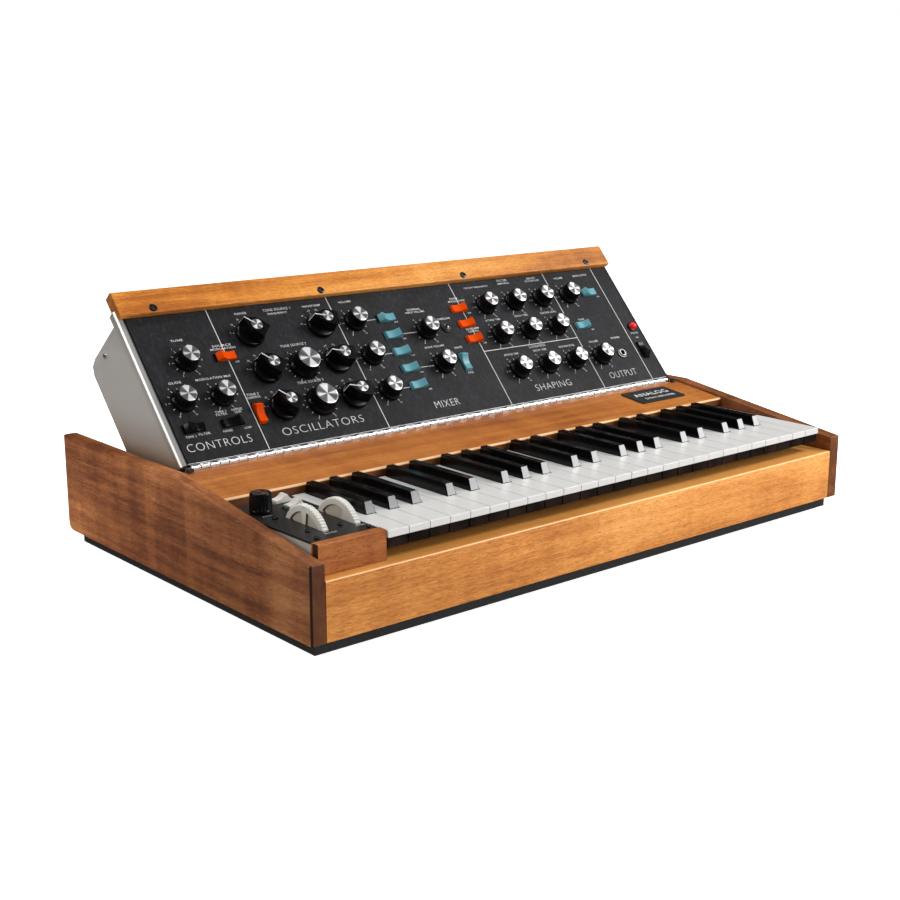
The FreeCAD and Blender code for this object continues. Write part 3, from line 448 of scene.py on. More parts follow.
def housing_metal():
    """Satin sheet: painted highlight on the rolled corner, painted shade across the flange,
    painted warm reflection and shade by height on the sides.
    """
    mat = Shader("silver_housing_metal")
    place = mat.place()
    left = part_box("panel_housing")[0].x
    marks, roughness = brush_marks(mat, stretch=(900, 60, 60), rough=0.34)
    depth = mat.math("SUBTRACT", mat.along_normal(place), PANEL_LEVEL)
    height = mat.math("DIVIDE", mat.math("SUBTRACT", place["Z"], FOOT + 0.112), 0.19)
    # painted reflection and shade by height: warm wood reflection low down, lightest midway,
    # darker higher up
    side = mat.ramp(height, [
        (0.0, (0.33, 0.245, 0.18)), (0.08, (0.43, 0.37, 0.32)), (0.22, (0.54, 0.51, 0.48)),
        (0.50, (0.55, 0.53, 0.50)), (0.72, (0.41, 0.40, 0.38)), (0.95, (0.36, 0.35, 0.33))])
    # painted shade line a few mm behind the face; 40 per metre: the whole ramp covers 25 mm
    # behind the face
    edge = mat.ramp(mat.multiply(mat.multiply(depth, -1.0), 40.0),
                    [(0.0, 1.0), (0.14, 1.0), (0.22, 0.72), (0.30, 0.86), (0.5, 1.0)])
    side = mat.mix(1.0, side, edge, "MULTIPLY")
    # painted highlight on the rolled corner, then painted shade across the flange towards the
    # face
    across = mat.math("DIVIDE", mat.math("SUBTRACT", place["X"], left), 0.010)
    flange = mat.ramp(across, [
        (0.0, (0.42, 0.41, 0.40)), (0.05, (0.86, 0.86, 0.85)), (0.16, 0.95),
        (0.24, (0.44, 0.44, 0.43)), (0.50, 0.36), (0.62, 0.14), (1.0, 0.04)])
    color = mat.mix(mat.math(ABOVE, depth, -0.0032), side, flange)
    # painted shade: the right half is darkened near the face
    right_flange_shade = mat.multiply(mat.math(ABOVE, place["X"], (LOW.x + HIGH.x) / 2),
                       mat.math(ABOVE, depth, -0.0075))
    color = mat.mix(right_flange_shade, color, (0.020, 0.020, 0.021))
    color = mat.shade(color, mat.linear(marks, gain=0.10, offset=0.90))
    return mat.set(color=color, rough=roughness, metal=mat.linear(right_flange_shade, gain=-0.45, offset=0.45),
                   spec=mat.linear(right_flange_shade, gain=-0.4, offset=0.5),
                   normal=mat.bump(marks, strength=0.06, distance=0.0003))


def plastic_shader(name, tone, rough, speck, coat, spec=0.5, bump=0.04):
    mat = Shader(name)
    grain = mat.noise(scale=900.0, detail=4.0, rough=0.6)
    drift = mat.noise(scale=70.0, detail=3.0, rough=0.55)
    level = mat.linear(drift, gain=speck, offset=1.0 - speck)
    level = mat.linear(grain, gain=speck, offset=level)
    mat.set(color=mat.shade(tone, level), coat=coat, coat_rough=0.12, spec=spec,
            rough=mat.linear(drift, gain=0.18, offset=rough - 0.09),
            normal=mat.bump(grain, strength=bump, distance=0.0002))
    return mat


def plastic(name, tone, **finish):
    return plastic_shader(name, tone, **finish).material


def sharp_key_black():
    """Black keys, with a gloss coat on the faces that look forward."""
    mat = plastic_shader("sharp_key_black", (0.0020, 0.0020, 0.0020), rough=0.17, speck=0.15,
                         coat=0.0, spec=0.26, bump=0.02)
    normal = mat.axes(mat.new("ShaderNodeNewGeometry").outputs["True Normal"])
    return mat.set(coat=mat.math(BELOW, normal["Y"], -0.8), coat_ior=1.68, coat_rough=0.18)


def natural_key_white():
    """White key tops; below the lip the lever is painted dark as shade."""
    mat = Shader("natural_key_white")
    # painted shade: below the lip's height the key is coloured near black
    low = mat.math(BELOW, mat.place()["Z"], 0.0869 + FOOT)
    grain = mat.noise(scale=260.0, detail=3.0, rough=0.5)
    streak = mat.noise(scale=36.0, detail=3.0, rough=0.5, stretch=(1, 0.25, 1))
    level = mat.linear(streak, gain=0.06, offset=0.90)
    level = mat.linear(grain, gain=0.05, offset=level)
    white = mat.shade(srgb(203, 202, 200), level)
    lever = mat.ramp(streak, [(0.4, srgb(20, 14, 11)), (0.6, srgb(36, 26, 21))])
    return mat.set(color=mat.mix(low, white, lever), coat=0.05, coat_rough=0.12,
                   rough=mat.linear(streak, gain=0.12, offset=0.30),
                   spec=mat.linear(low, gain=-0.4, offset=0.45),
                   normal=mat.bump(streak, strength=0.03, distance=0.0006))


def pan_paint():
    mat = Shader("pan_black_powder")
    grain = mat.noise(scale=700.0, detail=4.0, rough=0.6)
    color = mat.ramp(grain, [(0.3, (0.010, 0.010, 0.011)), (0.7, (0.022, 0.022, 0.024))])
    return mat.set(color=color, rough=0.55,
                   normal=mat.bump(grain, strength=0.3, distance=0.0004))


def hand_plate_paint():
    """Light metal low on the plate, black paint above."""
    metal_rough, paint_rough = 0.42, 0.40
    mat = Shader("hand_plate_black")
    painted = mat.math(ABOVE, mat.place()["Z"], 0.0919 + FOOT)
    grain = mat.noise(scale=800.0, detail=4.0, rough=0.6)
    color = mat.mix(painted, (0.66, 0.655, 0.63), (0.0055, 0.0055, 0.006))
    color = mat.shade(color, mat.linear(grain, gain=0.16, offset=0.86))
    return mat.set(color=color, metal=mat.linear(painted, gain=-0.35, offset=0.35),
                   rough=mat.linear(painted, gain=paint_rough - metal_rough,
                                    offset=metal_rough),
                   normal=mat.bump(grain, strength=0.12, distance=0.0003))


def base_hardware():
    """Bright metal, black low down and towards the front."""
    mat = Shader("base_hardware_mixed")
    y = mat.place()["Y"]
    z = mat.place()["Z"]
    grain = mat.noise(scale=700.0, detail=4.0, rough=0.6)
    dark = mat.math("MAXIMUM", mat.math(BELOW, z, FOOT + 0.060),
                    mat.math(BELOW, y, 0.2300 - DEPTH / 2))
    return mat.set(color=mat.mix(dark, (0.78, 0.78, 0.77), (0.014, 0.014, 0.014)),
                   rough=mat.linear(dark, gain=0.28, offset=0.28),
                   metal=mat.math("SUBTRACT", 1.0, dark),
                   normal=mat.bump(grain, strength=0.1, distance=0.0003))


def panel_hardware():
    """Grey metal behind the panel face, black in front of it."""
    mat = Shader("panel_inner_hardware")
    grain = mat.noise(scale=400.0, detail=4.0, rough=0.6)
    metal = mat.ramp(grain, [(0.3, 0.30), (0.7, (0.50, 0.50, 0.49))])
    outside = mat.math(ABOVE, mat.along_normal(mat.place()), PANEL_LEVEL - 0.0004)
    return mat.set(color=mat.mix(outside, metal, (0.006, 0.006, 0.006)), rough=0.4,
                   metal=mat.linear(outside, gain=-0.9, offset=0.9),
                   normal=mat.bump(grain, strength=0.1, distance=0.0003))


def spun_metal(name, tone, rough):
    """Turned cap: fine rings and painted highlights in bright opposite wedges, wide along y,
    thin along x.
    """
    mat = Shader(name)
    tangent = mat.new("ShaderNodeTangent", direction_type="RADIAL", axis="Z")
    x = mat.place()["X"]
    y = mat.place()["Y"]
    squares = mat.math("ADD", mat.multiply(x, x), mat.multiply(y, y))
    rings = mat.new("ShaderNodeTexNoise", noise_dimensions="1D")
    rings.inputs["Scale"].default_value = 4200.0
    rings.inputs["Detail"].default_value = 3.0
    mat.put(rings.inputs["W"], mat.math("SQRT", squares))
    rings = rings.outputs["Fac"]
    half_turns = mat.linear(mat.math("ARCTAN2", y, x), gain=1.0 / math.pi, offset=2.0)
    # painted highlights and painted reflections: bright and dark wedges round the cap
    painted_highlight_wedges = mat.ramp(mat.math("FRACT", half_turns), [
        (0.0, 0.80), (0.045, 0.80), (0.075, 0.16), (0.24, 0.10), (0.34, 0.22), (0.37, 0.95),
        (0.62, 1.0), (0.66, 0.20), (0.84, 0.11), (0.91, 0.24), (0.955, 0.78), (1.0, 0.80)])
    color = mat.shade(tone, mat.linear(rings, gain=0.22, offset=0.80))
    return mat.set(color=mat.mix(1.0, color, painted_highlight_wedges, "MULTIPLY"), metal=0.45, rough=rough,
                   spec=0.3, aniso=0.5, tangent=tangent.outputs[0],
                   normal=mat.bump(rings, strength=0.04, distance=0.0001))


def lamp_lens():
    mat = Shader("red_lamp_lens")
    grain = mat.noise(scale=500.0, detail=3.0, rough=0.5)
    color = mat.ramp(grain, [(0.3, (0.60, 0.002, 0.004)), (0.7, (0.72, 0.006, 0.010))])
    return mat.set(color=color, rough=0.16, coat=0.5, emit=(1.0, 0.0, 0.01), emit_strength=0.22)


FACE_PAINT = face_paint()
PRINT = print_paint("white_print", low=srgb(178, 178, 176), high=srgb(214, 214, 212))
BRIGHT_PRINT = print_paint("nameplate_print", low=srgb(226, 226, 224), high=srgb(246, 246, 244))
HOUSING = housing_metal()
STEEL = brushed("hinge_steel", (0.78, 0.78, 0.77), stretch=(60, 500, 500), rough=0.46,
                metal=0.20, contrast=0.08)
CHROME = brushed("bright_metal", (0.85, 0.85, 0.85), stretch=(300, 300, 300), rough=0.16,
                 contrast=0.08, bump=0.02)
NUT_METAL = brushed("jack_nut_metal", (0.30, 0.27, 0.24), stretch=(300, 300, 300), rough=0.28,
                    contrast=0.10, bump=0.03)
BLACK_GLOSS = plastic("knob_black", (0.0025, 0.0025, 0.0027), rough=0.22, speck=0.2, coat=0.0,
                      spec=0.20, bump=0.02)
BLACK_MATTE = plastic("matte_black", (0.007, 0.007, 0.007), rough=0.48, speck=0.2, coat=0.0,
                      spec=0.35, bump=0.10)
BLUE = plastic("rocker_blue", srgb(84, 142, 153), rough=0.36, speck=0.08, coat=0.08, spec=0.35)
ORANGE = plastic("rocker_orange", srgb(206, 66, 0), rough=0.42, speck=0.06, coat=0.0, spec=0.04)
SOFT_WHITE = plastic("wheel_white", srgb(204, 201, 194), rough=0.46, speck=0.06, coat=0.05)
# painted shade and warm painted reflection on the pocket walls; painted shade on the pocket
# floors
POCKET_WALL_SHADE = plastic("wheel_pocket_wall_shade", srgb(120, 84, 52), rough=0.55, speck=0.15, coat=0.0)
POCKET_FLOOR_SHADE = plastic("wheel_pocket_floor_shade", srgb(190, 180, 166), rough=0.5, speck=0.10,
                       coat=0.0)
SHARP_KEYS = sharp_key_black()
NATURAL_KEYS = natural_key_white()
PAN_PAINT = pan_paint()
HAND_PLATE = hand_plate_paint()
BASE_HARDWARE = base_hardware()
PANEL_HARDWARE = panel_hardware()
KEY_FRAME = brushed("key_frame_blackened", (0.012, 0.012, 0.012), stretch=(40, 400, 400),
                    rough=0.55, metal=0.0, contrast=0.3)
CAP = spun_metal("spun_cap", (0.90, 0.90, 0.90), rough=0.26)
DARK_CAP = spun_metal("spun_cap_dark", (0.16, 0.12, 0.11), rough=0.30)
RED_LENS = lamp_lens()
DARK_LENS = plastic("dark_lamp_lens", (0.010, 0.008, 0.008), rough=0.10, speck=0.1, coat=0.9,
                    bump=0.01)
# painted shadow laid where holes, recesses and gaps are
PAINTED_SHADOW = plastic("deep_shadow", (0.002, 0.002, 0.002), rough=0.9, speck=0.1, coat=0.0, spec=0.1)


# ------------------------------------------------------------ mesh helpers
def finish(bm, name, materials, sharp_angle=0):
    """Makes a smooth-shaded mesh; edges over sharp_angle degrees stay sharp."""
    mesh = bpy.data.meshes.new(name)
    bm.normal_update()
    bm.to_mesh(mesh)
    bm.free()
    for material in materials:
        mesh.materials.append(material)
    for polygon in mesh.polygons:
        polygon.use_smooth = True
    if sharp_angle:
        mesh.set_sharp_from_angle(angle=math.radians(sharp_angle))
    return mesh


def add(name, mesh, matrix, body, bevel=0.0, segments=2, replaces=None):
    """Puts a mesh in the scene, riding on a body."""
    obj = bpy.data.objects.new(name, mesh)
    bpy.context.scene.collection.objects.link(obj)
    obj.matrix_world = matrix
    if bevel:
        modifier = obj.modifiers.new("bevel", "BEVEL")
        modifier.width = bevel
        modifier.segments = segments
        modifier.limit_method = "ANGLE"
        modifier.angle_limit = math.radians(28)
    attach(obj, body)
    if replaces:
        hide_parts(replaces)


def add_face(bm, points, material_index=0):
    """A separate face through points in metres."""
    face = bm.faces.new([bm.verts.new(point) for point in points])
    face.material_index = material_index


def add_face_mm(bm, points, material_index=0):
    add_face(bm, [metres(*point) for point in points], material_index)


def stitch(bm, first, second):
    """Quads between two closed rings of the same count."""
    count = len(first)
    for i in range(count):
        j = (i + 1) % count
        bm.faces.new((first[i], first[j], second[j], second[i]))


def lathe(bm, profile, segments, shape=None):
    """Turns (radius, z) points in mm around z. shape(i, r, z), in metres, may alter r."""
    rings = []
    for point in profile:
        r, z = metres(*point)
        if r <= 1e-9:
            rings.append([bm.verts.new((0, 0, z))])
            continue
        ring = []
        for i in range(segments):
            angle = 2 * math.pi * i / segments
            reach = shape(i, r, z) if shape else r
            ring.append(bm.verts.new((reach * math.cos(angle), reach * math.sin(angle), z)))
        rings.append(ring)
    for first, second in zip(rings, rings[1:]):
        if len(first) > 1 and len(second) > 1:
            stitch(bm, first, second)
            continue
        for i in range(segments):
            j = (i + 1) % segments
            if len(first) == 1:
                bm.faces.new((first[0], second[j], second[i]))
            else:
                bm.faces.new((first[i], first[j], second[0]))


def turned(name, profile, segments, material, sharp_angle):
    """A plain turned mesh in one material."""
    bm = bmesh.new()
    lathe(bm, profile, segments)
    return finish(bm, name, [material], sharp_angle)


def solid_centres(node):
    """Box centres of a CAD node's separate solids, left to right, then top and back first."""
    mesh = frame["nodes"][node].data
    welded, parent = {}, {}

    def find(item):
        while parent[item] != item:
            parent[item] = parent[parent[item]]
            item = parent[item]
        return item

    index = []
    for vertex in mesh.vertices:
        key = tuple(round(c, 6) for c in vertex.co)
        if key not in welded:
            welded[key] = len(welded)
            parent[welded[key]] = welded[key]
        index.append(welded[key])
    for edge in mesh.edges:
        first, second = (find(index[v]) for v in edge.vertices)
        if first != second:
            parent[first] = second
    boxes = {}
    for vertex in mesh.vertices:
        root = find(index[vertex.index])
        low, high = boxes.setdefault(root, (vertex.co.copy(), vertex.co.copy()))
        for i in range(3):
            low[i] = min(low[i], vertex.co[i])
            high[i] = max(high[i], vertex.co[i])
    centres = [(low + high) / 2 for low, high in boxes.values()]
    return sorted(centres, key=lambda c: (round(c.x, 4), -c.z, -c.y))


# ------------------------------------------------------------ knobs and selectors
# depth of one flute across its eight segments, metres
FLUTE = (0.0, 0.0, 0.00025, 0.00062, 0.00075, 0.00062, 0.00025, 0.0)
RIB_DEPTH = 0.00085


def round_knob_meshes(kind, skirt, grip_foot, grip_top, cap, height, flutes):
    """Fluted grip over a ribbed skirt, with a turned cap. Radii and height in mm."""
    segments = flutes * len(FLUTE)

    def shape(i, r, z):
        if 0.0052 < z < (height - 0.9) / 1000.0 and r > 0.006:
            return r - FLUTE[i % len(FLUTE)]
        if 0.0011 < z < 0.0034 and r > (skirt - 1.2) / 1000.0:
            return r - RIB_DEPTH * (i // 2 % 2)
        return r

    bm = bmesh.new()
    lathe(bm, [
        (0, 1.05), (skirt - 0.9, 1.05), (skirt - 0.1, 1.2), (skirt, 1.5), (skirt - 0.05, 2.3),
        (skirt - 0.5, 3.0), (grip_foot + 1.3, 3.6), (grip_foot + 0.5, 4.4),
        (grip_foot + 0.05, 5.2), (grip_foot, 5.8), (grip_top + 0.1, height - 2.0),
        (grip_top, height - 1.5), (grip_top - 0.15, height - 0.8),
        (grip_top - 0.5, height - 0.35), (cap + 0.35, height - 0.2), (cap + 0.2, height - 0.45),
        (cap + 0.15, height - 0.9), (0, height - 0.9)], segments, shape)
    # white pointer down the grip and across its rim: (y, z) at its two ends
    for top, foot in (((grip_top + 0.25, height - 1.3), (grip_foot + 0.22, 5.4)),
                      ((cap + 0.4, height - 0.1), (grip_top - 0.2, height - 0.45))):
        add_face_mm(bm, [(-0.35, *top), (-0.35, *foot), (0.35, *foot), (0.35, *top)], 1)
    body = finish(bm, "round_knob_" + kind, [BLACK_GLOSS, PRINT], 35)
    cap_profile = [
        (0, height - 0.85), (cap, height - 0.85), (cap, height - 0.25),
        (cap - 0.12, height - 0.05), (cap - 0.3, height), (cap - 2.2, height - 0.05),
        (cap * 0.45, height - 0.16), (0, height - 0.2)]
    return body, turned("cap_" + kind, cap_profile, 72, CAP, 35)


# half outline of the arrow grip behind its nose, mm
SELECTOR_SIDE = [(12.2, 3.0), (8.6, 5.6), (5.0, 7.8), (1.5, 9.0), (-2.0, 9.3),
                 (-11.6, 9.1), (-13.0, 8.3), (-13.6, 7.0)]
SELECTOR_NOSE = [(15.6, -0.75), (15.6, 0.75)]
SELECTOR_TAPER = 0.955, 0.93        # top outline over foot outline, along and across


def selector_body():
    """Round skirt under an arrow-shaped grip, a little narrower at the top."""
    bm = bmesh.new()
    lathe(bm, [(0, 1.05), (15.1, 1.05), (15.5, 1.3), (15.6, 1.8), (15.55, 4.0), (15.2, 4.8),
               (14.4, 5.5), (13.0, 6.0), (0, 6.05)], 96)
    outline = SELECTOR_NOSE + SELECTOR_SIDE + [(x, -y) for x, y in reversed(SELECTOR_SIDE)]
    along, across = SELECTOR_TAPER
    foot = [bm.verts.new(metres(x, y, 5.5)) for x, y in outline]
    top = [bm.verts.new(metres(x * along, y * across, 19.8)) for x, y in outline]
    stitch(bm, foot, top)
    bm.faces.new(foot[::-1])
    bm.faces.new(top)
    return finish(bm, "selector_body", [BLACK_GLOSS], 30)


def selector_line():
    """White line along the top, down the nose and over the corner between."""
    bm = bmesh.new()
    for (x0, z0), (x1, z1) in (((6.2, 19.92), (14.75, 19.92)), ((14.98, 19.4), (15.68, 6.3)),
                               ((14.70, 19.93), (15.02, 19.35))):
        add_face_mm(bm, [(x0, -0.5, z0), (x1, -0.5, z1), (x1, 0.5, z1), (x0, 0.5, z0)])
    return finish(bm, "selector_line", [PRINT])


def knob_seat(body, degrees=0.0):
    return (Matrix.Translation(joint_point(body)) @ Matrix.Rotation(PANEL_TILT, 4, "X")
            @ Matrix.Rotation(math.radians(degrees), 4, "Z"))


SMALL_KNOB = round_knob_meshes("small", skirt=12.7, grip_foot=10.9, grip_top=10.2, cap=8.9,
                               height=16.5, flutes=18)
LARGE_KNOB = round_knob_meshes("large", skirt=16.6, grip_foot=14.2, grip_top=13.2, cap=12.1,
                               height=17.5, flutes=24)
SELECTOR_BODY = selector_body()
SELECTOR_LINE = selector_line()
SELECTOR_CAP = turned("selector_cap", [(0, 19.5), (6.2, 19.5), (6.2, 20.2), (6.0, 20.45),
                                       (5.7, 20.5), (3.0, 20.42), (0, 20.35)], 64, CAP, 35)
KNOBS = sorted(b for b in frame["bodies"] if b.endswith("_knob") and b != "lfo_rate_knob")
SELECTORS = sorted(b for b in frame["bodies"] if b.endswith("_selector"))


def is_large(knob):
    return "frequency" in knob


for knob in KNOBS:
    body_mesh, cap_mesh = LARGE_KNOB if is_large(knob) else SMALL_KNOB
    add(knob + ".body", body_mesh, knob_seat(knob), knob, replaces=knob)
    add(knob + ".cap", cap_mesh, knob_seat(knob), knob)
for selector in SELECTORS:
    seat = knob_seat(selector, 135 if "range" in selector else 163)
    add(selector + ".body", SELECTOR_BODY, seat, selector, bevel=0.0007, segments=3,
        replaces=selector)
    add(selector + ".line", SELECTOR_LINE, seat, selector)
    add(selector + ".cap", SELECTOR_CAP, seat, selector)


# ------------------------------------------------------------ rockers
EDGE_DROP = 0.22                    # how far a rocker's long edges fall, mm


def rocker_loft(name, outline, width, edge, drop_above, material, sharp_angle):
    """Carries an (x, z) outline across the width; points over drop_above fall at the edges."""
    bm = bmesh.new()
    half = width / 2
    columns = []
    for y, drop in ((-half, EDGE_DROP), (-half + edge, 0.0), (half - edge, 0.0),
                    (half, EDGE_DROP)):
        columns.append([bm.verts.new(metres(x, y, z - (drop if z > drop_above else 0.0)))
                        for x, z in outline])
    for first, second in zip(columns, columns[1:]):
        stitch(bm, first, second)
    bm.faces.new(columns[0][::-1])
    bm.faces.new(columns[-1])
    bmesh.ops.recalc_face_normals(bm, faces=bm.faces)
    return finish(bm, name, [material], sharp_angle)


def hand_rocker_mesh():
    """Two hollow thumb facets meeting in a ridge."""
    half, foot, top, steps = 11.4, 1.9, 7.7, 26
    facet = []
    for i in range(steps + 1):
        t = i / steps
        rise = 0.12 * t + 0.88 * t ** 2.4
        facet.append((-half + t * (half - 0.9), foot + (top - foot) * rise))
    outline = facet + [(0.0, top + 0.08)] + [(-x, z) for x, z in reversed(facet)]
    outline += [(half, 0.4), (5.4, -8.0), (-5.4, -8.0), (-half, 0.4)]
    return rocker_loft("hand_rocker_mesh", outline, width=9.4, edge=0.35, drop_above=-math.inf,
                       material=SOFT_WHITE, sharp_angle=32)


def panel_rocker_mesh(colour, material):
    """A dished top between two raised ends, with sloping end faces."""
    foot, half, rise, dip, steps = 11.9, 8.6, 5.9, 3.3, 30
    outline = [(-foot, -0.6), (-half - 0.35, 5.55)]
    for i in range(steps + 1):
        x = -half + 2 * half * i / steps
        outline.append((x, dip + (rise - dip) * (abs(x) / half) ** 1.75))
    outline += [(half + 0.35, 5.55), (foot, -0.6), (5.5, -8.2), (-5.5, -8.2)]
    return rocker_loft(f"rocker_{colour}_mesh", outline, width=8.8, edge=0.3, drop_above=0.0,
                       material=material, sharp_angle=30)


def bezel_mesh():
    """Thin black rim and dark well around a rocker."""
    length, width, rim = 12.55, 4.9, 0.55       # half length, half width, rim width
    bm = bmesh.new()
    rings = []
    for x, y, z in ((length + rim, width + rim, 0.05), (length + rim, width + rim, 0.35),
                    (length, width, 0.35), (length, width, -2.0)):
        rings.append([bm.verts.new(metres(*corner))
                      for corner in ((-x, -y, z), (x, -y, z), (x, y, z), (-x, y, z))])
    for i in range(4):
        j = (i + 1) % 4
        for outer, inner in zip(rings, rings[1:]):
            bm.faces.new((outer[i], outer[j], inner[j], inner[i]))
    return finish(bm, "rocker_bezel", [BLACK_MATTE], 30)


def rocked(seat, pivot_height, degrees):
    """A seat tilted about a pivot that stands over it."""
    pivot = Matrix.Translation((0, 0, pivot_height))
    return seat @ pivot @ Matrix.Rotation(math.radians(degrees), 4, "Y") @ pivot.inverted()


PANEL_ROCKERS = {colour: panel_rocker_mesh(colour, material) for colour, material in
                 (("blue", BLUE), ("orange", ORANGE), ("black", BLACK_GLOSS))}
HAND_ROCKER = hand_rocker_mesh()
BEZEL = bezel_mesh()

# body: (long axis on the panel, tilt in degrees, colour)
ROCKER_SETUP = {
    "osc_modulation_rocker": ("x", 14, "orange"), "mod_source_left_rocker": ("x", 14, "black"),
    "mod_source_right_rocker": ("x", -14, "black"), "osc3_control_rocker": ("v", -14, "orange"),
    "mixer_osc1_rocker": ("x", 14, "blue"), "mixer_rockers": ("x", -14, "blue"),
    "noise_type_rocker": ("v", -14, "blue"), "filter_rockers": ("x", -14, "orange"),
    "main_output_rocker": ("x", 14, "blue"), "tuning_tone_rocker": ("x", -14, "blue"),
    "power_rocker": ("v", 14, "black")}

for body, (long_axis, tilt, colour) in sorted(ROCKER_SETUP.items()):
    joint = TO_PANEL @ joint_point(body)
    heights = sorted(((TO_PANEL @ c).y for c in solid_centres(body)), reverse=True)
    # a tilted solid's box centre is off its pivot: the joint gives one pivot, the solids
    # give the pitch
    shift = joint.y - min(heights, key=lambda v: abs(v - joint.y))
    for i, height in enumerate(heights):
        seat = PANEL @ Matrix.Translation((joint.x, height + shift, 0))
        if long_axis == "v":
            seat = seat @ Matrix.Rotation(math.radians(90), 4, "Z")
        add(f"{body}.{i}", PANEL_ROCKERS[colour], rocked(seat, joint.z, tilt), body,
            bevel=0.00025, replaces=None if i else body)
        add(f"{body}.bezel{i}", BEZEL, seat, "panel")

hand_joint = joint_point("hand_rockers")
plate_z = PLATE.translation.z
for i, centre in enumerate(solid_centres("hand_rockers")):
    seat = Matrix.Translation((hand_joint.x, centre.y, plate_z))
    add(f"hand_rocker.{i}", HAND_ROCKER, rocked(seat, hand_joint.z - plate_z, 8),
        "hand_rockers", bevel=0.0003,
        replaces=None if i else "hand_rockers")
    add(f"hand_rocker.bezel{i}", BEZEL, seat @ Matrix.Diagonal((1.0, 1.05, 1.0, 1.0)),
        "cabinet")

# ------------------------------------------------------------ wheels and the rate knob
WHEEL_RADIUS = 33.0
WHEEL_HALF_WIDTH = 3.1
WHEEL_TEETH = 66
TOOTH = (0.0, 0.12, 0.85, 0.85)     # how far each of a tooth's four segments is cut back
POCKET_DEPTH = 1.9
# radii of a wheel's side, centre outwards, and what happens there
WHEEL_STATIONS = [
    (0.0, "flat"), (6.5, "flat"), (7.0, "web"), (26.4, "web"), (26.9, "flat"),
    (WHEEL_RADIUS - 1.6, "flat"), (WHEEL_RADIUS - 0.9, "shoulder"), (WHEEL_RADIUS, "rim")]


def wheel_mesh(name, pockets, notched):
    """Ridged wheel, axle along x. pockets: (from, to) degrees, from the top to the back."""
    count = WHEEL_TEETH * len(TOOTH)
    angles = [(360.0 * i / count + 180) % 360 - 180 for i in range(count)]
    pocketed = [any(low <= angle <= high for low, high in pockets) for angle in angles]

    def side_point(i, radius, kind):
        """Half width and radius of segment i."""
        x = WHEEL_HALF_WIDTH
        if kind == "web" and pocketed[i]:
            x -= POCKET_DEPTH
        if kind == "rim":
            x -= 0.55
        if kind in ("shoulder", "rim"):
            ridge_share, notch_extra = (1.0, 0.0) if kind == "rim" else (0.5, 0.6)
            radius -= TOOTH[i % len(TOOTH)] * ridge_share
            offset = WHEEL_RADIUS * math.sin(math.radians(angles[i]))
            if notched and abs(angles[i]) < 30 and abs(offset) < 3.0:
                # round notch of radius 3.4 centred 1.6 outside the rim
                bottom = WHEEL_RADIUS + 1.6 - math.sqrt(3.4 ** 2 - offset ** 2)
                radius = min(radius, bottom - notch_extra)
        return x, radius

    bm = bmesh.new()
    rims = []
    for side in (-1, 1):
        rings = []
        for radius, kind in WHEEL_STATIONS:
            if radius == 0.0:
                rings.append([bm.verts.new(metres(side * WHEEL_HALF_WIDTH, 0, 0))])
                continue
            ring = []
            for i, angle in enumerate(angles):
                x, reach = side_point(i, radius, kind)
                turn = math.radians(angle)
                ring.append(bm.verts.new(
                    metres(side * x, reach * math.sin(turn), reach * math.cos(turn))))
            rings.append(ring)
        rims.append(rings[-1])
        for band, (inner, outer) in enumerate(zip(rings, rings[1:])):
            for i in range(count):
                j = (i + 1) % count
                corners = (inner[0], outer[i], outer[j])
                if len(inner) > 1:
                    corners = (inner[i], outer[i], outer[j], inner[j])
                face = bm.faces.new(corners if side > 0 else corners[::-1])
                # band 2 is the web, in painted pocket-floor shade; bands 1 and 3 become pocket
                # walls, in painted wall shade
                if band == 2 and pocketed[i] and pocketed[j]:
                    face.material_index = 2
                elif band in (1, 2, 3) and (pocketed[i] or pocketed[j]):
                    face.material_index = 1
    stitch(bm, *rims)
    bmesh.ops.recalc_face_normals(bm, faces=bm.faces)
    return finish(bm, name, [SOFT_WHITE, POCKET_WALL_SHADE, POCKET_FLOOR_SHADE], 40)


for wheel, pockets, notched in (("pitch_wheel", [(9, 52), (-52, -9)], True),
                                ("mod_wheel", [(-22, 50)], False)):
    centre = Matrix.Translation(joint_point(wheel))
    add(wheel + ".disc", wheel_mesh(wheel + "_mesh", pockets, notched), centre, wheel,
        replaces=wheel)
    axle = turned(wheel + "_axle", [(0, -12.0), (2.6, -12.0), (3.0, -11.6), (3.0, 11.6),
                                    (2.6, 12.0), (0, 12.0)], 32, STEEL, 40)
    add(wheel + ".axle", axle, centre @ Matrix.Rotation(math.pi / 2, 4, "Y"), wheel)

RATE_FLUTE = (0.0, 0.00012, 0.00042, 0.00052, 0.00042, 0.00012)     # metres


def rate_grip_mesh():
    """Tall fluted grip with a white line on its back side."""
    def shape(i, r, z):
        return r - RATE_FLUTE[i % len(RATE_FLUTE)] if 0.0026 < z < 0.0165 else r

    bm = bmesh.new()
    lathe(bm, [(0, 0), (10.2, 0), (10.6, 0.3), (10.6, 1.9), (10.3, 2.4), (10.35, 2.8),
               (9.95, 16.2), (9.7, 17.3), (9.2, 17.95), (8.6, 18.2), (8.4, 18.0), (8.3, 17.7),
               (0, 17.7)], 24 * len(RATE_FLUTE), shape)
    add_face_mm(bm, [(-0.45, 10.0, 17.2), (-0.45, 10.45, 3.0), (0.45, 10.45, 3.0),
                     (0.45, 10.0, 17.2)], 1)
    return finish(bm, "lfo_grip", [BLACK_GLOSS, PRINT], 35)


rate_seat = Matrix.Translation(joint_point("lfo_rate_knob"))
add("lfo_rate_knob.grip", rate_grip_mesh(), rate_seat, "lfo_rate_knob",
    replaces="lfo_rate_knob")
rate_cap = turned("lfo_cap", [(0, 17.72), (8.2, 17.72), (8.2, 18.0), (7.9, 18.12),
                              (4.0, 18.05), (0, 18.0)], 64, DARK_CAP, 35)
add("lfo_rate_knob.cap", rate_cap, rate_seat, "lfo_rate_knob")

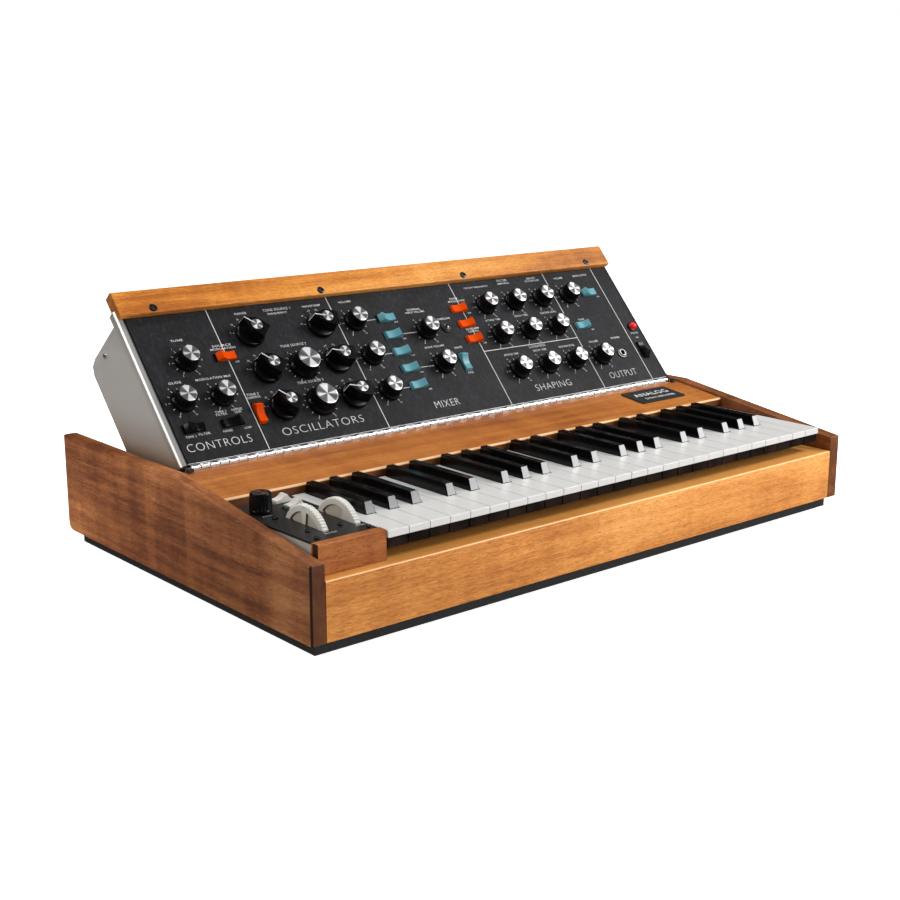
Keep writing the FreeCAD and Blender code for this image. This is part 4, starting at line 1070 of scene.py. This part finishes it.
# ------------------------------------------------------------ materials of the CAD pieces
CAD_MATERIALS = dict(
    left_cheek=LEFT_CHEEK_WOOD, right_cheek=RIGHT_CHEEK_WOOD, front_rail=RAIL_WOOD,
    rear_rail=REAR_WOOD, fascia_board=FASCIA_WOOD, corner_block=BLOCK_WOOD,
    panel_trim_wood=TRIM_WOOD, base_pan=PAN_PAINT, hand_plate=HAND_PLATE, key_frame=KEY_FRAME,
    base_hardware=BASE_HARDWARE, panel_face=FACE_PAINT, panel_housing=HOUSING,
    hinge_panel_leaf=STEEL, panel_hardware=PANEL_HARDWARE, prop_stand=BLACK_MATTE,
    natural_keys=NATURAL_KEYS, sharp_keys=SHARP_KEYS)
for node, material in CAD_MATERIALS.items():
    slots = frame["nodes"][node].data.materials
    slots.clear()
    slots.append(material)


# ------------------------------------------------------------ printing on the panel
def text_piece(text, height, weight):
    """Mesh of one flat text, before it is scaled and placed."""
    curve = bpy.data.curves.new("text", "FONT")
    curve.body = text
    curve.size = height / 1000.0 * 1.40
    curve.align_x = "CENTER"
    curve.align_y = "BOTTOM_BASELINE"
    curve.space_character = 1.10
    curve.resolution_u = 2 if height < 4 else 4
    curve.offset = height * 1e-3 * weight
    obj = bpy.data.objects.new("text", curve)
    bpy.context.scene.collection.objects.link(obj)
    bpy.context.view_layer.update()
    graph = bpy.context.evaluated_depsgraph_get()
    mesh = bpy.data.meshes.new_from_object(obj.evaluated_get(graph))
    bpy.data.objects.remove(obj)
    bpy.data.curves.remove(curve)
    return mesh


def add_lettering(name, items, body, material, base):
    """One mesh of texts on base. items: (text, x, y, height, width or 0, weight), in mm.

    The place is the text's middle. Width 0 keeps the natural width.
    """
    bm = bmesh.new()
    for text, x, y, height, width, weight in items:
        mesh = text_piece(text, height, weight)
        xs = [v.co.x for v in mesh.vertices]
        ys = [v.co.y for v in mesh.vertices]
        scale_x = width / 1000.0 / (max(xs) - min(xs)) if width else 1.0
        scale_y = 1.0
        if len(text) > 1 or text.isdigit():
            scale_y = height / 1000.0 / (max(ys) - min(ys))
        middle = ((min(xs) + max(xs)) / 2, (min(ys) + max(ys)) / 2)
        mesh.transform(Matrix.Translation(metres(x, y, 0.06))
                       @ Matrix.Diagonal((scale_x, scale_y, 1, 1))
                       @ Matrix.Translation((-middle[0], -middle[1], 0)))
        bm.from_mesh(mesh)
        bpy.data.meshes.remove(mesh)
    add(name, finish(bm, name, [material]), base, body)


# (text, x, v, height, width)
TITLES = [
    ("CONTROLS", 69.0, 16.8, 8.4, 72.0), ("OSCILLATORS", 191.5, 16.8, 8.4, 100.0),
    ("MIXER", 355.8, 17.1, 8.2, 34.0), ("SHAPING", 516.3, 16.2, 8.2, 56.0),
    ("OUTPUT", 632.6, 15.3, 8.2, 46.0)]
SUBTITLES = [
    ("FILTER", 523.6, 164.6, 3.2, 15.5), ("LOUDNESS", 523.5, 70.0, 3.2, 26.0),
    ("TONE SOURCE 1", 201.0, 159.9, 3.0, 34.0), ("TONE SOURCE 2", 200.6, 114.4, 2.9, 32.0),
    ("TONE SOURCE 3", 200.4, 68.8, 2.9, 32.0)]
# (text, x, v, width)
LABELS = [
    ("TUNE", 71.9, 136.6, 13.8), ("GLIDE", 50.1, 89.5, 14.0),
    ("MODULATION MIX", 93.1, 89.0, 40.0), ("TONE 3", 84.6, 50.4, 12.5),
    ("FILTER", 84.6, 47.4, 12.5), ("NOISE", 103.2, 50.4, 12.0), ("LOW", 103.2, 47.4, 8.0),
    ("TONE 3", 42.4, 28.8, 11.5), ("FILTER", 57.6, 29.6, 13.0), ("NOISE", 83.4, 28.6, 10.5),
    ("LOW", 106.3, 28.5, 8.0), ("SOURCE", 118.3, 124.6, 22.0),
    ("MODULATION", 118.5, 120.9, 29.0), ("RANGE", 156.4, 159.6, 14.0),
    ("FREQUENCY", 200.1, 154.9, 24.0), ("WAVEFORM", 244.5, 159.2, 23.0),
    ("VOLUME", 289.1, 159.5, 17.0), ("TONE 3", 127.6, 64.2, 14.0),
    ("CONTROL", 127.6, 60.6, 16.5), ("EXTERNAL", 375.1, 139.5, 18.5),
    ("INPUT VOLUME", 375.1, 135.8, 26.5), ("OVERLOAD", 410.0, 122.6, 18.0),
    ("NOISE VOLUME", 377.7, 88.7, 27.5), ("WHITE", 409.1, 83.1, 11.5),
    ("PINK", 409.1, 49.5, 8.0), ("FILTER", 438.6, 147.3, 12.0),
    ("MODULATION", 440.6, 143.7, 24.0), ("KEYBOARD", 442.5, 104.8, 18.0),
    ("CONTROL", 443.0, 101.3, 16.0), ("CUTOFF FREQUENCY", 479.6, 159.2, 37.0),
    ("EMPHASIS", 523.7, 160.3, 18.0), ("AMOUNT", 570.1, 163.2, 15.0),
    ("OF CONTOUR", 570.1, 159.6, 23.0), ("ATTACK TIME", 478.8, 112.6, 22.5),
    ("DECAY TIME", 524.4, 113.5, 20.5), ("SUSTAIN LEVEL", 568.3, 113.0, 26.0),
    ("ATTACK TIME", 478.7, 64.3, 22.5), ("DECAY TIME", 524.1, 64.3, 20.5),
    ("SUSTAIN LEVEL", 568.0, 64.1, 26.0), ("VOLUME", 613.5, 158.9, 15.0),
    ("MAIN OUTPUT", 651.7, 159.4, 24.0), ("TONE", 613.9, 96.9, 10.0),
    ("VOLUME", 613.4, 64.5, 15.0), ("PHONES", 652.4, 65.3, 15.0), ("POWER", 688.7, 67.6, 12.0)]
# (x, v) of each "ON"
ON_MARKS = [
    (128.0, 103.7), (343.4, 126.3), (343.4, 103.9), (343.4, 82.0), (343.4, 59.6), (343.4, 37.5),
    (450.5, 126.0), (450.5, 105.0), (450.5, 84.2), (662.1, 126.1), (623.7, 81.2), (688.8, 60.9)]
SELECTOR_STOPS = (165, 135, 105, 75, 45, 15)        # degrees, counter-clockwise from +x
RANGE_LABELS = ("L", "32", "16", "8", "4", "2")


def dial_centre(body):
    """Panel place of a knob or selector, mm."""
    point = TO_PANEL @ joint_point(body)
    return point.x * 1000, point.y * 1000


def around(centre, radius, degrees):
    angle = math.radians(degrees)
    return centre[0] + radius * math.cos(angle), centre[1] + radius * math.sin(angle)


items = [(*title, -0.028) for title in TITLES]
items += [(*subtitle, -0.004) for subtitle in SUBTITLES]
items += [(text, x, v, 2.5, width, 0.006) for text, x, v, width in LABELS]
items += [("ON", x, v, 2.1, 4.2, 0.01) for x, v in ON_MARKS]
for knob in KNOBS:
    two_sided = knob == "tune_knob" or is_large(knob)
    for i in range(0, 11, 2):
        x, v = around(dial_centre(knob), 21.0 if is_large(knob) else 18.2, 240 - 30 * i)
        items.append((str(abs(5 - i) if two_sided else i), x, v, 2.0, 0, 0.0))
for selector in SELECTORS:
    if "range" in selector:
        for label, angle in zip(RANGE_LABELS, SELECTOR_STOPS):
            items.append((label, *around(dial_centre(selector), 20.8, angle), 2.0, 0, 0.0))
add_lettering("panel_lettering", items, "panel", PRINT, PANEL)

# wave-shape signs beside the waveform stops, as (x, v) strokes around their middle
WAVE_SIGNS = [
    [(-2, -1), (0, 1), (2, -1)],
    [(-2, -1), (0, 1), (0, -1), (2, 1)],
    [(-2, -1), (2, 1), (2, -1)],
    [(-2, -1), (-2, 1), (0, 1), (0, -1), (2, -1)],
    [(-2, -1), (-2, 1), (-0.7, 1), (-0.7, -1), (2, -1)],
    [(-2, -1), (-2, 1), (-1.4, 1), (-1.4, -1), (2, -1)]]
LINE_GAP = 12.6                     # from a knob's centre to the line that leaves it


def add_strokes(name, strokes):
    """Painted lines on the panel: (x0, v0, x1, v1, width) in mm."""
    bm = bmesh.new()
    for x0, y0, x1, y1, width in strokes:
        side = Vector((y0 - y1, x1 - x0)).normalized() * width / 2
        add_face_mm(bm, [(x0 - side.x, y0 - side.y, 0.05), (x1 - side.x, y1 - side.y, 0.05),
                         (x1 + side.x, y1 + side.y, 0.05), (x0 + side.x, y0 + side.y, 0.05)])
    add(name, finish(bm, name, [PRINT]), PANEL, "panel")


# section dividers, then lines from knobs to rockers
strokes = [(x, 0.9, x, 168.2, 0.8) for x in (118.7, 267.8, 442.2, 591.8, 675.3)]
strokes.append((442.2, 73.2, 591.8, 73.2, 0.8))
strokes += [(288.8 + LINE_GAP, v, 318.6, v, 0.55) for v in (132.6, 87.9, 43.6)]
strokes += [(344.0, 110.1, 376.6 - LINE_GAP, 110.1, 0.55),
            (344.0, 65.5, 376.6 - LINE_GAP, 65.2, 0.55),
            (612.8 + LINE_GAP, 132.7, 635.4, 132.7, 0.55)]
for knob in KNOBS:
    centre = dial_centre(knob)
    last, start = (12, 16.8) if is_large(knob) else (10, 12.9)
    for i in range(last + 1):
        angle = 240 - 300.0 * i / last
        end = start + (3.4 if i in (0, last) else 2.6)
        strokes.append((*around(centre, start, angle), *around(centre, end, angle), 0.52))
for selector in SELECTORS:
    centre = dial_centre(selector)
    for angle, sign in zip(SELECTOR_STOPS, WAVE_SIGNS):
        strokes.append((*around(centre, 16.6, angle), *around(centre, 18.4, angle), 0.42))
        if "waveform" in selector:
            x, v = around(centre, 21.4, angle)
            points = [(x + dx * 0.8, v + dv * 0.9) for dx, dv in sign]
            strokes += [(*first, *second, 0.32) for first, second in zip(points, points[1:])]
add_strokes("panel_lines", strokes)

# ------------------------------------------------------------ lamps, jack, screws
HARDWARE_CENTRES = [TO_PANEL @ centre for centre in solid_centres("panel_hardware")]


def snap(x, v, reach=2.5):
    """Centre of the fixed panel part nearest to a place, or the place if none is in reach."""
    places = [(centre.x * 1000, centre.y * 1000) for centre in HARDWARE_CENTRES]
    nearest = min(places, key=lambda p: (p[0] - x) ** 2 + (p[1] - v) ** 2)
    return nearest if math.hypot(nearest[0] - x, nearest[1] - v) < reach else (x, v)


POWER_LAMP = snap(688.8, 76.2)
OVERLOAD_LAMP = snap(406.6, 110.4)
PHONES_JACK = snap(648.5, 42.2)
# (name, place, material, slot, segments, profile of (radius, height))
PANEL_TURNINGS = [
    ("power_lamp.ring", POWER_LAMP, BLACK_GLOSS, "bare_steel", 48,
     [(4.7, 0.05), (6.3, 0.05), (6.35, 0.5), (6.2, 1.3), (5.6, 1.6), (4.8, 1.6), (4.7, 0.9)]),
    ("power_lamp.lens", POWER_LAMP, RED_LENS, "bare_steel", 48,
     [(4.7, 0.1), (4.7, 1.0), (4.6, 2.6), (4.3, 4.4), (3.7, 5.8), (2.7, 6.9), (1.4, 7.5),
      (0, 7.6)]),
    ("overload_lamp.ring", OVERLOAD_LAMP, BLACK_MATTE, "black_plastic", 48,
     [(4.9, 0.05), (6.6, 0.05), (6.65, 0.6), (6.4, 1.6), (5.8, 1.9), (5.0, 1.8), (4.9, 1.0)]),
    ("overload_lamp.lens", OVERLOAD_LAMP, DARK_LENS, "black_plastic", 48,
     [(4.9, 0.2), (4.8, 1.4), (4.1, 2.7), (3.0, 3.7), (1.6, 4.25), (0, 4.4)]),
    ("phones_jack.nut", PHONES_JACK, NUT_METAL, "bare_steel", 48,
     [(6.45, 0.05), (6.4, 1.4), (6.2, 1.7), (4.9, 1.8), (4.8, 2.5), (4.4, 2.9), (3.4, 2.9),
      (3.1, 2.6), (3.1, -3.0)]),
    # painted shadow disc for the jack's hole
    ("phones_jack.hole", PHONES_JACK, PAINTED_SHADOW, "black_plastic", 32,
     [(0, 0.3), (3.2, 0.3), (3.2, -1.0)])]
for name, place, material, slot, segments, profile in PANEL_TURNINGS:
    add(name, turned(name, profile, segments, material, 32), on_panel(*place), "panel")


def add_screw(name, matrix, body, radius, height, material, flat=False):
    """Screw head, domed or flat, with a cross painted in shadow black for its recess."""
    bm = bmesh.new()
    profile = [(radius, 0.02), (radius, height * 0.25), (radius * 0.85, height * 0.72),
               (radius * 0.55, height * 0.96), (0, height)]
    if flat:
        profile = [(radius, 0.0), (radius, height - 0.15), (radius * 0.9, height), (0, height)]
    lathe(bm, profile, 40)
    # painted shadow: a dark cross laid on the head stands in for the recess
    length, width = radius * 0.62, radius * 0.13
    for angle in (0.4, 0.4 + math.pi / 2):
        cos, sin = math.cos(angle), math.sin(angle)
        corners = ((-length, -width), (length, -width), (length, width), (-length, width))
        add_face_mm(bm, [(cos * x - sin * y, sin * x + cos * y, height + 0.02)
                         for x, y in corners], 1)
    add(name, finish(bm, name, [material, PAINTED_SHADOW], 32), matrix, body)


SCREW_SEAT = [(0, -1.6), (2.2, -1.6), (2.6, -1.0), (3.6, -0.3), (4.2, 0.22), (4.5, 0.18),
              (4.45, 0.05), (4.1, 0.05)]
for i, trim_x in enumerate((58.9, 261.6, 464.3, 667.0)):
    x, v = snap(trim_x, 173.6)
    name = f"trim_screw.seat{i}"
    add(name, turned(name, SCREW_SEAT, 40, DARK_LENS, 32), on_panel(x, v, 6.3), "panel")
    add_screw(f"trim_screw.head{i}", on_panel(x, v, 5.2), "panel", radius=2.3, height=0.5,
              material=BLACK_GLOSS, flat=True)
for i, (x, y) in enumerate(((33.9, 101.3), (34.2, 51.4), (28.0, 29.4), (67.0, 49.3),
                            (82.6, 29.2), (67.0, 101.3))):
    add_screw(f"plate_screw.{i}", Matrix.Translation(cabinet_point(x, y, PLATE_TOP)), "cabinet",
              radius=2.75, height=1.95, material=BLACK_GLOSS)
for i, (v, d) in enumerate(((157.6, -48.0), (40.0, -70.0))):
    for x, degrees, side in ((19.5, -90, "l"), (706.5, 90, "r")):
        matrix = on_panel(x, v, d) @ Matrix.Rotation(math.radians(degrees), 4, "Y")
        add_screw(f"side_screw.{i}{side}", matrix, "panel", radius=2.8, height=1.5,
                  material=CHROME)

# ------------------------------------------------------------ painted shadow in hinge and face gaps, and the face edge
HINGE_LOW, HINGE_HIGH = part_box("hinge_panel_leaf")
KNUCKLE_PITCH = 0.0104
KNUCKLE_SURFACE = 0.0030 + 0.00012  # knuckle radius and a hair of clearance


def add_hinge_gaps(index, body, degrees, half_width, half_height, start):
    """Painted shadow: dark patches along the hinge gaps, at an angle about its pin from +y.
    Metres.
    """
    angle = math.radians(degrees)
    outward = Vector((0, math.cos(angle), math.sin(angle)))
    tangent = Vector((0, -math.sin(angle), math.cos(angle)))
    middle = HINGE_PIN + outward * KNUCKLE_SURFACE
    low, high = middle - tangent * half_height, middle + tangent * half_height
    bm = bmesh.new()
    x = HINGE_LOW.x + start
    while x < HINGE_HIGH.x - 0.004:
        left, right = x - half_width, x + half_width
        add_face(bm, [(left, low.y, low.z), (left, high.y, high.z),
                      (right, high.y, high.z), (right, low.y, low.z)])
        x += KNUCKLE_PITCH
    add(f"hinge_gaps.{body}", finish(bm, f"hinge_gaps_{index}", [PAINTED_SHADOW]), Matrix.Identity(4),
        body)


add_hinge_gaps(0, "panel", degrees=122.0, half_width=0.0026, half_height=0.00042,
               start=KNUCKLE_PITCH / 2)
add_hinge_gaps(1, "cabinet", degrees=172.0, half_width=0.00045, half_height=0.0011,
               start=KNUCKLE_PITCH)


def add_strips(name, strips, material):
    """Flat strips on the panel: (x0, v0, x1, v1, d) in mm."""
    bm = bmesh.new()
    for x0, v0, x1, v1, d in strips:
        add_face_mm(bm, [(x0, v0, d), (x1, v0, d), (x1, v1, d), (x0, v1, d)])
    add(name, finish(bm, name, [material]), PANEL, "panel")


face_left, face_right = ((corner.x - LOW.x) * 1000 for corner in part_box("panel_face"))
# painted shadow strips in the gaps at the face's left and right edges
add_strips("face_gap_painted_shadow", [(face_left - 0.7, 0.6, face_left + 0.65, 168.0, 0.07),
                        (face_right - 0.05, 0.6, face_right + 0.6, 168.0, 0.03)],
           PAINTED_SHADOW)
add_strips("face_edge", [(face_left + 0.15, 0.35, face_right - 0.15, 0.75, 0.05)],
           STEEL)

# ------------------------------------------------------------ cabinet lettering
NAMEPLATE_SLOPE = 0.1379            # rise over run
NAMEPLATE_Y = 183.0
nameplate_z = 102.25 + NAMEPLATE_SLOPE * (NAMEPLATE_Y - 158.4)
NAMEPLATE = (Matrix.Translation(cabinet_point(599.0, NAMEPLATE_Y, nameplate_z))
             @ Matrix.Rotation(math.atan(NAMEPLATE_SLOPE), 4, "X")
             @ Matrix.Translation((0, 0, 0.0016)))
add_lettering("nameplate_lettering",
              [("ANALOG", 37.2, 22.4, 8.6, 56.0, -0.01),
               ("SYNTHESIZER", 40.5, 9.4, 4.2, 50.0, -0.01)],
              "cabinet", BRIGHT_PRINT, NAMEPLATE)
add_lettering("plate_lettering",
              [("PITCH", 47.6, 36.6, 2.6, 11.5, 0.0), ("MOD.", 81.0, 38.6, 2.6, 9.5, 0.0),
               ("RATE", 33.0, 112.4, 2.2, 9.0, 0.0), ("GLIDE", 70.0, 132.6, 2.0, 9.5, 0.0),
               ("DECAY", 70.0, 113.4, 2.0, 10.5, 0.0)],
              "cabinet", PRINT, PLATE)


# ------------------------------------------------------------ floor, light, camera
def floor_material():
    """White to the camera, mostly dark in reflections."""
    mat = Shader("floor_white")
    mat.set(color=(0.80, 0.80, 0.80), rough=0.8, spec=0.0)
    rays = mat.new("ShaderNodeLightPath").outputs
    glow = mat.linear(rays["Is Camera Ray"], gain=0.86, offset=0.04)
    lit = mat.new("ShaderNodeAddShader")
    mat.put(lit.inputs[0], mat.surface.outputs[0])
    mat.put(lit.inputs[1], mat.white_light("ShaderNodeEmission", strength=glow))
    dark = mat.white_light("ShaderNodeEmission", strength=0.05)
    reflected = mat.multiply(rays["Is Glossy Ray"], 0.85)
    shader = mat.mix_shaders(reflected, lit.outputs[0], dark)
    mat.put(mat.tree.nodes["Material Output"].inputs["Surface"], shader)
    return mat.material


def add_floor():
    half = 40.0
    bm = bmesh.new()
    add_face(bm, [(-half, -half, 0), (half, -half, 0), (half, half, 0), (-half, half, 0)])
    mesh = finish(bm, "studio_floor", [floor_material()])
    floor = bpy.data.objects.new("studio_floor", mesh)
    bpy.context.scene.collection.objects.link(floor)


def set_world():
    """White to the camera, soft for diffuse light, mostly dark in reflections."""
    world = bpy.data.worlds.new("studio")
    bpy.context.scene.world = world
    world.use_nodes = True
    world.node_tree.nodes.clear()
    graph = Graph(world.node_tree)
    rays = graph.new("ShaderNodeLightPath").outputs
    directions = graph.new("ShaderNodeTexCoord").outputs["Generated"]
    # reflections are brighter towards the front
    gloss = graph.remap(graph.axes(directions)["Y"], low=-1.0, high=0.2, to_low=0.12,
                        to_high=0.03)
    diffuse = graph.white_light("ShaderNodeBackground", strength=0.42)
    glossy = graph.white_light("ShaderNodeBackground", strength=gloss)
    seen = graph.white_light("ShaderNodeBackground", strength=1.0)
    lighting = graph.mix_shaders(rays["Is Glossy Ray"], diffuse, glossy)
    shader = graph.mix_shaders(rays["Is Camera Ray"], lighting, seen)
    graph.put(graph.new("ShaderNodeOutputWorld").inputs[0], shader)


def add_area_light(name, location, target, width, height, power, colour=(1, 1, 1)):
    light = bpy.data.lights.new(name, "AREA")
    light.energy = power
    light.shape = "RECTANGLE"
    light.size = width
    light.size_y = height
    light.color = colour
    obj = bpy.data.objects.new(name, light)
    bpy.context.scene.collection.objects.link(obj)
    obj.location = location
    aim = Vector(target) - Vector(location)
    obj.rotation_euler = aim.to_track_quat("-Z", "Y").to_euler()


def add_camera():
    camera = bpy.data.cameras.new("camera")
    camera.sensor_width = 36.0
    camera.lens = 58.34
    camera.clip_start = 0.01
    obj = bpy.data.objects.new("camera", camera)
    bpy.context.scene.collection.objects.link(obj)
    # turns that take the scene's axes to the camera's, in degrees
    pitch, roll, yaw = (Matrix.Rotation(math.radians(degrees), 3, axis)
                        for degrees, axis in ((-76.08, "X"), (0.07, "Y"), (40.30, "Z")))
    to_camera = pitch @ roll @ yaw
    position = cabinet_point(-645.5, -937.0, 461.8)
    obj.matrix_world = Matrix.Translation(position) @ to_camera.transposed().to_4x4()
    bpy.context.scene.camera = obj


add_floor()
set_world()
add_area_light("key_right", location=(1.55, -1.05, 1.55), target=(0.05, 0, 0.12),
               width=1.1, height=0.7, power=33.0)
add_area_light("front_card", location=(1.05, -1.62, 0.66), target=(0.0, 0, 0.10),
               width=2.0, height=0.40, power=19.5)
add_area_light("top_soft", location=(-0.2, 0.5, 2.0), target=(0, 0, 0.1),
               width=1.5, height=0.8, power=20.0)
add_area_light("left_card", location=(-1.70, 0.35, 1.00), target=(-0.3, 0.1, 0.12),
               width=0.45, height=1.1, power=10.0, colour=(1.0, 0.96, 0.90))
add_camera()
bpy.context.scene.view_settings.view_transform = "Standard"
bpy.context.scene.view_settings.look = "None"
